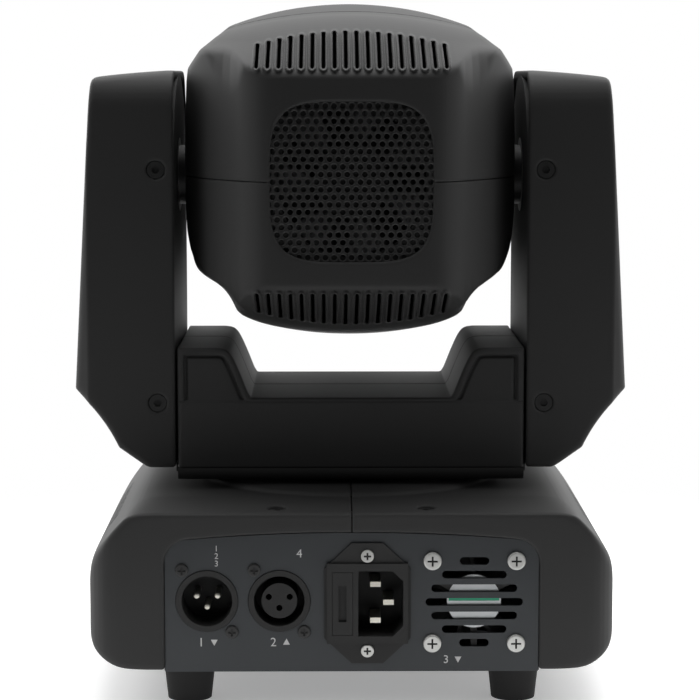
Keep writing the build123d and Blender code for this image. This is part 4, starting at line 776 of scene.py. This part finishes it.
@dataclass
class Arms:
    """The yoke's two arm covers."""

    inner_x: float = 69.5
    facet_x: float = 103.5
    wide_x: float = 109.4
    half: float = 43.0
    foot_z: float = 85.5
    wall: float = 3.0
    facet_slope: float = 0.8
    top_round: float = 16.0
    screw_x: float = 76.4
    screw_zs: tuple[float, float] = (204.0, 112.0)
    head_y: float = 41.2
    bore: float = 3.6

    def mesh(self) -> Mesh:
        """Mesh of the right arm's cover."""
        grid = Grid(spaced(68.5, 110.3, 0.7), spaced(-44, 44, 0.8), spaced(84.5, 245.7, 0.8))
        top, turn = TILT_Z + self.half, self.top_round
        flat = self.half - turn
        corner = arc((self.half, top - turn), (flat + turn * 0.707, top - turn * 0.293), (flat, top), 16)
        section = mirrored([(0, self.foot_z), (self.half, self.foot_z), *corner])
        side = grid.over_yz(section) + np.maximum(grid.x - self.facet_x, 0) * self.facet_slope
        plate_top = TILT_Z + 40.6
        plate = [(-40.6, 50), (40.6, 50), *arc((40.6, TILT_Z), (0, plate_top), (-40.6, TILT_Z), 40)]
        front = [
            (50.0, self.foot_z),
            (80.0, self.foot_z),
            (92.0, 94.0),
            *arc((92.0, 94.0), (99.5, 106.5), (self.wide_x, 117.0), 12),
            *soften([(self.wide_x, 117.0), (102.3, 235.4), (101.7, 239.6), (98.2, 240.5), (72.5, 243.1)], 2),
            (50.0, 243.1),
        ]
        form = both(side, grid.over_xz(front), 2.6)
        shell = np.maximum(form, -(form + self.wall))
        web = np.maximum(np.maximum(np.abs(grid.x - 71.6) - 0.9, form + 0.6), -grid.over_yz(plate))
        shell = np.minimum(shell, web)
        shell = both(shell, self.inner_x - grid.x, 0.8)
        for z in self.screw_zs:
            reach = np.hypot(grid.x - self.screw_x, grid.z - z)
            boss = np.maximum(reach - 5.4, 28.0 - np.abs(grid.y))
            boss = np.maximum(np.maximum(boss, form + 0.5), 72.8 - grid.x)
            shell = np.minimum(shell, boss)
            shell = np.maximum(shell, -np.maximum(reach - self.bore, self.head_y - np.abs(grid.y)))
            shell = np.maximum(shell, 1.65 - reach)
        return grid.net(shell)

    def build(self) -> None:
        """Adds both covers."""
        vertices, quads = self.mesh()
        black = finish_of("moulded_black")
        right = make_piece("arm_right_cover", vertices, quads, "yoke", black, ["arm_cover_right"])
        left = make_piece("arm_left_cover", *flipped(vertices, quads), "yoke", black, ["arm_cover_left"])
        for piece in (right, left):
            mean_angle_shading(piece)


@dataclass
class Crossbar:
    """The yoke's crossbar cover: a valley between two end blocks."""

    half_w: float = 68.6
    half_d: float = 43.0
    valley_z: float = 114.0
    valley_half: float = 39.4
    block_z: float = 133.9
    foot_z: float = 86.1
    wall: float = 2.5
    skin: float = 2.6
    groove_half: float = 0.65
    groove_depth: float = 1.7
    ledge_z: float = 112.7
    ledge_depth: float = 0.7

    def outline(self) -> list[Point]:
        """Outline of (width, height), open below the cover's foot."""
        rise = [(self.valley_half, self.valley_z)]
        rise += soften([(40.7, 116.1), (43.9, 124.2), (46.8, 130.6), (49.2, 133.4), (53.0, self.block_z)], 2)
        end = [(0, 60), (self.half_w, 60), (self.half_w, self.block_z)]
        return mirrored([*end, *reversed(rise), (0, self.valley_z)])

    def build(self) -> None:
        """Adds the cover."""
        grid = Grid(
            spaced(-69.6, 69.6, 0.7),
            spaced(-44, 44, 0.8, [(-43.4, -40.4, 0.35), (-1.0, 1.0, 0.25)]),
            spaced(85.2, 134.9, 0.55, [(111.0, 115.0, 0.3)]),
        )
        outline = grid.over_xz(self.outline())
        form = both(outline, np.abs(grid.y) - self.half_d, 1.8)
        shell = np.maximum(form, -(form + self.wall))
        above = self.ledge_z + 0.4 - grid.z
        inner_end = self.valley_half - 1.0 - np.abs(grid.x)
        groove = np.maximum(np.abs(outline + self.skin + self.groove_half) - self.groove_half, above)
        groove = np.maximum(np.maximum(groove, inner_end), grid.y + self.half_d - self.groove_depth)
        shell = both(shell, -groove, 0.4)
        inset = np.maximum(outline + self.skin + 2 * self.groove_half, above)
        inset = np.maximum(np.maximum(inset, inner_end), grid.y + self.half_d - self.ledge_depth)
        shell = both(shell, -inset, 0.5)
        line = np.maximum(np.abs(grid.z - self.ledge_z) - 0.3, grid.y + self.half_d - 0.5)
        shell = both(shell, -line, 0.4)
        seam = np.maximum(np.abs(grid.y) - 0.3, -(form + 0.8))
        shell = both(shell, -seam, 0.3)
        shell = np.maximum(shell, self.foot_z - grid.z)
        black = finish_of("moulded_black")
        mean_angle_shading(make_piece("crossbar_skin", *grid.net(shell), "yoke", black, ["crossbar_cover"]))


@dataclass
class Base:
    """The base's two covers, split down the middle of the deck."""

    half_w: float = 105.0
    half_d: float = 86.0
    wall: float = 3.0
    foot_z: float = 14.0
    deck_z: float = 78.0
    deck_edge_z: float = 75.4
    deck_slope: float = 28.0
    disc_r: float = 60.0
    disc_lift: float = 1.0
    hole_r: float = 22.0
    screw_x: float = 28.5
    screw_y: float = 76.0
    head_z: float = 73.6
    panel_half: float = 71.3
    panel_side_z: float = 64.5
    panel_crown_z: float = 67.9

    def panel_outline(self) -> list[Point]:
        """Outline of (width, height) of the opening for the rear panel, open at the bottom."""
        half, side_z, corner = self.panel_half, self.panel_side_z, 8.0
        top = (half - corner, 65.2)
        turn = arc((half, side_z - corner), (half - 2.4, side_z - 2.3), top, 8)
        crown = arc(top, (half / 2, 67.2), (0, self.panel_crown_z), 8)
        return mirrored([(0, -20), (half, -20), *turn, *crown[1:]])

    def section(self) -> list[Point]:
        """Outline of (width, height)."""
        foot, deck = self.foot_z, self.deck_z
        low = [(78, foot), (87, foot + 0.6), (95.5, 18), (101.5, 23), (104.6, 31), (105.2, 39)]
        high = [(104, 47), (100.5, 56), (93, 66.8), (82, deck), (60, deck)]
        return mirrored([(0, foot), *soften(low + high, 3), (0, deck)])

    def profile(self) -> list[Point]:
        """Outline of (depth, height)."""
        foot, deck, far = self.foot_z, self.deck_z, self.half_d
        edge = [(far, self.deck_edge_z), (far - self.deck_slope, deck), (0, deck)]
        return mirrored([(0, foot), (far, foot), *edge])

    def plan(self) -> list[Point]:
        """Outline of (width, depth) seen from above."""
        far, side, turn = self.half_d, self.half_w - 4.0, 72.0
        bulge = arc((side, -turn), (self.half_w, 0.0), (side, turn), 20)
        rear = arc((87.0, -far), (96.9, -81.9), (side, -turn), 8)
        ahead = arc((side, turn), (96.9, 81.9), (87.0, far), 8)
        return mirrored([(0, -far), *rear, *bulge[1:-1], *ahead, (0, far)])

    def mesh(self) -> Mesh:
        """Mesh of the right cover."""
        grid = Grid(
            spaced(-0.9, 106.2, 0.85, [(-0.3, 1.2, 0.3)]),
            spaced(-87.2, 87.2, 0.85, [(-86.4, -82.8, 0.45)]),
            spaced(13.2, 80.2, 0.7),
        )
        form = both(grid.over_xz(self.section()), grid.over_yz(self.profile()), 2.6)
        form = both(form, grid.over_xy(self.plan()), 3.0)
        radius = np.hypot(grid.x, grid.y)
        disc = both(radius - self.disc_r, grid.z - self.deck_z - self.disc_lift, 1.5)
        form = either(form, np.maximum(disc, 60 - grid.z), 1.6)
        shell = np.maximum(form, -(form + self.wall))
        floor = np.maximum(np.maximum(grid.x - 72.0, np.abs(grid.y) - 82.7), grid.z - 18.0)
        shell = np.maximum(shell, -floor)
        opening = grid.over_xz(self.panel_outline())
        arch = np.maximum(np.abs(opening - 4.2) - 0.45, grid.y + self.half_d - 0.45)
        arch = np.maximum(arch, 40.0 - grid.z)
        shell = both(shell, -arch, 0.5)
        shell = both(shell, -np.maximum(opening - 0.2, grid.y + 80.0), 1.0)
        window = np.hypot(np.maximum(grid.x - 50, 0), np.maximum(np.abs(grid.z - 40) - 15, 0)) - 6.2
        shell = both(shell, -np.maximum(window, 80.0 - grid.y), 0.9)
        reach = np.hypot(grid.x - self.screw_x, np.abs(grid.y) - self.screw_y)
        boss = np.maximum(np.maximum(reach - 5.0, form + 0.3), 64.0 - grid.z)
        shell = np.minimum(shell, boss)
        shell = both(shell, -np.maximum(reach - 3.4, self.head_z - grid.z), 0.4)
        shell = np.maximum(shell, 1.65 - reach)
        shell = both(shell, -np.maximum(radius - self.hole_r, 60.0 - grid.z), 0.8)
        along = np.abs(((grid.y + 4.5) % 9.0) - 4.5)
        vent = slot_distance(along, grid.z, 54.0, 66.0, 1.6)
        vent = np.maximum(np.maximum(vent, np.abs(grid.y) - 40.5), 70.0 - grid.x)
        shell = both(shell, -vent, 0.8)
        shell = both(shell, 0.12 - grid.x, 0.4)
        return grid.net(shell)

    def build(self) -> None:
        """Adds both covers."""
        vertices, quads = self.mesh()
        black = finish_of("moulded_black")
        right = make_piece("base_right_cover", vertices, quads, "base", black, ["base_cover_right"])
        left = make_piece("base_left_cover", *flipped(vertices, quads), "base", black, ["base_cover_left"])
        for piece in (right, left):
            mean_angle_shading(piece)


def plate_mesh(outline: Sequence[Point], front: float, back: float) -> tuple[list, list]:
    """Flat plate of an outline in width and height, between two depths."""
    count = len(outline)
    vertices = [(x, front, z) for x, z in outline] + [(x, back, z) for x, z in outline]
    faces = [list(range(count)), list(range(2 * count - 1, count - 1, -1))]
    faces += [[i, i + count, (i + 1) % count + count, (i + 1) % count] for i in range(count)]
    return vertices, faces


@dataclass
class PanelMarks:
    """Plain printed marks on the rear panel: numbers and arrows, no words."""

    face_y: float = -84.0
    thickness: float = 0.04
    numbers: tuple[tuple[str, float, float, float], ...] = (
        ("1", -51.6, 60.8, 3.2),
        ("2", -51.6, 57.9, 3.2),
        ("3", -51.6, 55.0, 3.2),
        ("4", -20.0, 58.4, 4.6),
        ("1", -57.6, 23.9, 4.8),
        ("2", -30.0, 23.9, 4.8),
        ("3", 36.0, 17.2, 4.4),
    )
    arrows: tuple[tuple[float, float, float], ...] = (
        (-52.6, 25.5, -1.0),
        (-25.0, 25.5, 1.0),
        (40.6, 18.7, -1.0),
    )

    def number(self, index: int, text: str, x: float, z: float, size: float) -> None:
        """Adds one figure of the given height scale, with its lower middle at (x, z)."""
        curve = bpy.data.curves.new(f"mark_{index}", "FONT")
        curve.body, curve.size, curve.align_x = text, size * MM, "CENTER"
        curve.extrude = self.thickness * MM
        source = bpy.data.objects.new(f"mark_{index}_source", curve)
        mesh = bpy.data.meshes.new_from_object(source)
        bpy.data.objects.remove(source)
        flat = np.array([v.co for v in mesh.vertices]) / MM
        placed = np.stack([x + flat[:, 0], self.face_y - self.thickness - flat[:, 2], z + flat[:, 1]], axis=1)
        faces = [list(p.vertices) for p in mesh.polygons]
        make_piece(f"panel_number_{index}", placed, faces, "base", PRINT_WHITE, smooth=False)

    def build(self) -> None:
        """Adds the figures and arrows."""
        for index, (text, x, z, size) in enumerate(self.numbers, 1):
            self.number(index, text, x, z, size)
        for index, (x, z, turn) in enumerate(self.arrows, 1):
            tip = [(x, z + 1.4 * turn), (x - 1.3, z - 1.0 * turn), (x + 1.3, z - 1.0 * turn)]
            plate = plate_mesh(tip, self.face_y - 2 * self.thickness, self.face_y)
            make_piece(f"panel_arrow_{index}", *plate, "base", PRINT_WHITE, smooth=False)


@dataclass
class FanLabel:
    """Bare label on the cooling fan's hub."""

    x: float = 46.7
    z: float = 41.0
    radius: float = 10.3
    face_y: float = -82.3

    def build(self) -> None:
        """Adds the label disc and its stripe."""
        turns = np.linspace(0, 2 * math.pi, 48, endpoint=False)
        disc = [(self.x + self.radius * math.cos(t), self.z + self.radius * math.sin(t)) for t in turns]
        plate = plate_mesh(disc, self.face_y - 0.06, self.face_y)
        make_piece("fan_label_disc", *plate, "base_fan", LABEL_SILVER, smooth=False)
        reach, low, high = self.radius - 0.6, 0.1, 1.6
        corners = ((-reach, low), (reach, low), (reach, high), (-reach, high))
        stripe = [(self.x + u, self.z + v) for u, v in corners]
        plate = plate_mesh(stripe, self.face_y - 0.09, self.face_y - 0.06)
        make_piece("fan_label_stripe", *plate, "base_fan", LABEL_GREEN, smooth=False)


@dataclass
class Studio:
    """Camera, lights, backdrop and floor."""

    lens: float = 119.9
    place: tuple[float, float, float] = (-0.0088, -0.9564, 0.2397)
    pitch: float = -6.657
    yaw: float = -0.53

    def build(self) -> None:
        """Adds the camera, the lights, the world and the floor."""
        scene = bpy.context.scene
        data = bpy.data.cameras.new("camera")
        data.lens, data.sensor_width = self.lens, 36.0
        data.clip_start = 0.02
        camera = bpy.data.objects.new("camera", data)
        camera.location = self.place
        camera.rotation_euler = (math.radians(90 + self.pitch), 0, math.radians(self.yaw))
        scene.collection.objects.link(camera)
        scene.camera = camera
        scene.view_settings.view_transform = "Standard"
        self.light("top_light", (0.1, 0.35, 1.6), (0.0, 0.0, 0.1), 1.5, 18.0)
        self.light("back_left_light", (-0.9, 0.9, 0.7), (0.0, 0.0, 0.15), 0.8, 5.0)
        self.light("back_right_light", (0.9, 0.9, 0.7), (0.0, 0.0, 0.15), 0.8, 5.0)
        self.light("left_light", (-1.3, -0.9, 1.1), (0.0, 0.0, 0.12), 0.9, 3.0)
        self.light("right_light", (1.2, -1.1, 0.8), (0.0, 0.0, 0.12), 0.8, 1.5)
        self.world(scene)
        self.floor()

    def light(
        self, name: str, place: Sequence[float], aim: Sequence[float], size: float, power: float
    ) -> None:
        """Adds one soft area light.

        Args:
            name: The light's name.
            place: Where it stands, in metres.
            aim: The point that it faces.
            size: Its side, in metres.
            power: Its power, in watts.
        """
        data = bpy.data.lights.new(name, "AREA")
        data.size, data.energy = size, power
        light = bpy.data.objects.new(name, data)
        light.location = place
        offset = np.array(aim) - np.array(place)
        light.rotation_euler = (
            math.atan2(math.hypot(offset[0], offset[1]), -offset[2]),
            0,
            math.atan2(offset[1], offset[0]) - math.pi / 2,
        )
        bpy.context.scene.collection.objects.link(light)

    def world(self, scene: bpy.types.Scene) -> None:
        """White to the camera; towards the object, bright behind and above it and dim in front."""
        world = bpy.data.worlds.new("studio")
        world.use_nodes = True
        scene.world = world
        links = Links(world.node_tree)
        background = world.node_tree.nodes["Background"]
        place = links.add("ShaderNodeTexCoord")
        split = links.add("ShaderNodeSeparateXYZ", {"Vector": place.outputs["Generated"]})
        behind = links.add(
            "ShaderNodeMapRange",
            {"Value": split.outputs["Y"], "From Min": -0.5, "From Max": 0.35, "To Min": 0.03, "To Max": 1.5},
        )
        path = links.add("ShaderNodeLightPath")
        level = links.add("ShaderNodeMix", data_type="FLOAT")
        world.node_tree.links.new(path.outputs["Is Camera Ray"], level.inputs["Factor"])
        world.node_tree.links.new(behind.outputs["Result"], level.inputs["A"])
        level.inputs["B"].default_value = 1.0
        world.node_tree.links.new(level.outputs["Result"], background.inputs["Strength"])
        background.inputs["Color"].default_value = (1, 1, 1, 1)

    def floor(self) -> None:
        """Adds the plain pale floor."""
        mesh = bpy.data.meshes.new("floor")
        reach = 0.6
        corners = [(-reach, -reach, 0), (reach, -reach, 0), (reach, reach, 0), (-reach, reach, 0)]
        mesh.from_pydata(corners, [], [(0, 1, 2, 3)])
        material = bpy.data.materials.new("floor_paper")
        material.use_nodes = True
        links = Links(material.node_tree)
        shader = material.node_tree.nodes["Principled BSDF"]
        shader.inputs["Base Color"].default_value = (0.95, 0.95, 0.95, 1)
        shader.inputs["Roughness"].default_value = 0.9
        shader.inputs["Specular IOR Level"].default_value = 0.1
        shader.inputs["Emission Color"].default_value = (1, 1, 1, 1)
        shader.inputs["Emission Strength"].default_value = 0.3
        place = links.add("ShaderNodeTexCoord")
        length = links.add("ShaderNodeVectorMath", {0: place.outputs["Object"]}, operation="LENGTH")
        fade = links.add(
            "ShaderNodeMapRange",
            {"Value": length.outputs["Value"], "From Min": 0.16, "From Max": 0.42},
            interpolation_type="SMOOTHSTEP",
        )
        clear = links.add("ShaderNodeBsdfTransparent")
        mixed = links.add("ShaderNodeMixShader", {"Fac": fade.outputs["Result"]})
        material.node_tree.links.new(shader.outputs["BSDF"], mixed.inputs[1])
        material.node_tree.links.new(clear.outputs["BSDF"], mixed.inputs[2])
        surface = material.node_tree.nodes["Material Output"].inputs["Surface"]
        material.node_tree.links.new(mixed.outputs["Shader"], surface)
        mesh.materials.append(material)
        floor = bpy.data.objects.new("floor", mesh)
        bpy.context.scene.collection.objects.link(floor)
        floor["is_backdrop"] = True


def dress_nodes(frame: dict) -> None:
    """Gives every CAD node the finish of its slot in the record, except the trunnions, which take dark_screw.
    """
    for part in frame["record"]["subparts"]:
        name, slot = part["node"], part["material_slot"]
        node = frame["nodes"][name]
        node.data.materials.clear()
        node.data.materials.append(bpy.data.materials["dark_screw" if name == "trunnions" else slot])
        log.info("%s takes %s", name, slot)


def shade_screws(node: bpy.types.Object, head_r: float, dark_left_of: float | None = None) -> None:
    """Paints shade into the cross recesses of a node's screws with the near-black socket plastic, and darkens
    all of the screws left of a line where one is given.

    Args:
        node: CAD node of the screws, which point along the depth.
        head_r: Radius of the screw heads, in metres.
        dark_left_of: Width in metres left of which a screw is dark all over.
    """
    mesh = node.data
    mesh.materials.append(bpy.data.materials["dark_screw"])
    # near-black socket plastic, used here as painted shade in the cross recesses
    mesh.materials.append(bpy.data.materials["socket_plastic"])
    centres = np.array([p.center for p in mesh.polygons])
    heads: list[np.ndarray] = []
    for centre in centres[np.abs(centres[:, 1]).argsort()[::-1]]:
        if all(np.hypot(*(centre - h)[[0, 2]]) > 2.2 * head_r or centre[1] * h[1] < 0 for h in heads):
            close = np.hypot(*(centres - centre)[:, [0, 2]].T) < 2.2 * head_r
            near = centres[close & (centres[:, 1] * centre[1] > 0)]
            middle = (near.min(0) + near.max(0)) / 2
            middle[1] = near[np.abs(near[:, 1]).argmax(), 1]
            heads.append(middle)
    for head in heads:
        apart = centres - head
        flat = np.abs(apart[:, [0, 2]])
        near = (np.hypot(*flat.T) < 1.1 * head_r) & (centres[:, 1] * head[1] > 0)
        if dark_left_of is not None and head[0] < dark_left_of:
            for index in np.flatnonzero(near):
                mesh.polygons[index].material_index = 1
        # faces inside each cross recess take the near-black slot: painted shade, not a plastic part
        cross = (flat.min(1) < 0.00037) & (flat.max(1) < 0.62 * head_r)
        recess = near & cross & (np.abs(apart[:, 1]) > 0.0001)
        for index in np.flatnonzero(recess):
            mesh.polygons[index].material_index = 2


def as_lists(bounds: object) -> object:
    """Bounds as plain lists, ready for JSON."""
    if isinstance(bounds, dict):
        return {k: as_lists(v) for k, v in bounds.items()}
    if isinstance(bounds, (str, int, float)) or bounds is None:
        return bounds
    return [as_lists(v) for v in bounds]


def main() -> None:
    """Builds the scene."""
    logging.basicConfig(level=logging.INFO)
    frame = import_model()
    sizes = {"loaded": as_lists(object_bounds())}
    build_groups()
    for finish in (*FINISHES, PRINT_WHITE, LABEL_SILVER, LABEL_GREEN):
        finish.build()
    dress_nodes(frame)
    shade_screws(frame["nodes"]["panel_screws"], 0.0035, dark_left_of=-0.012)
    shade_screws(frame["nodes"]["arm_screws"], 0.0034)
    Base().build()
    PanelMarks().build()
    FanLabel().build()
    Crossbar().build()
    Arms().build()
    Head().build()
    Studio().build()
    sizes["finished"] = as_lists(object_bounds())


if __name__ == "__main__":
    main()
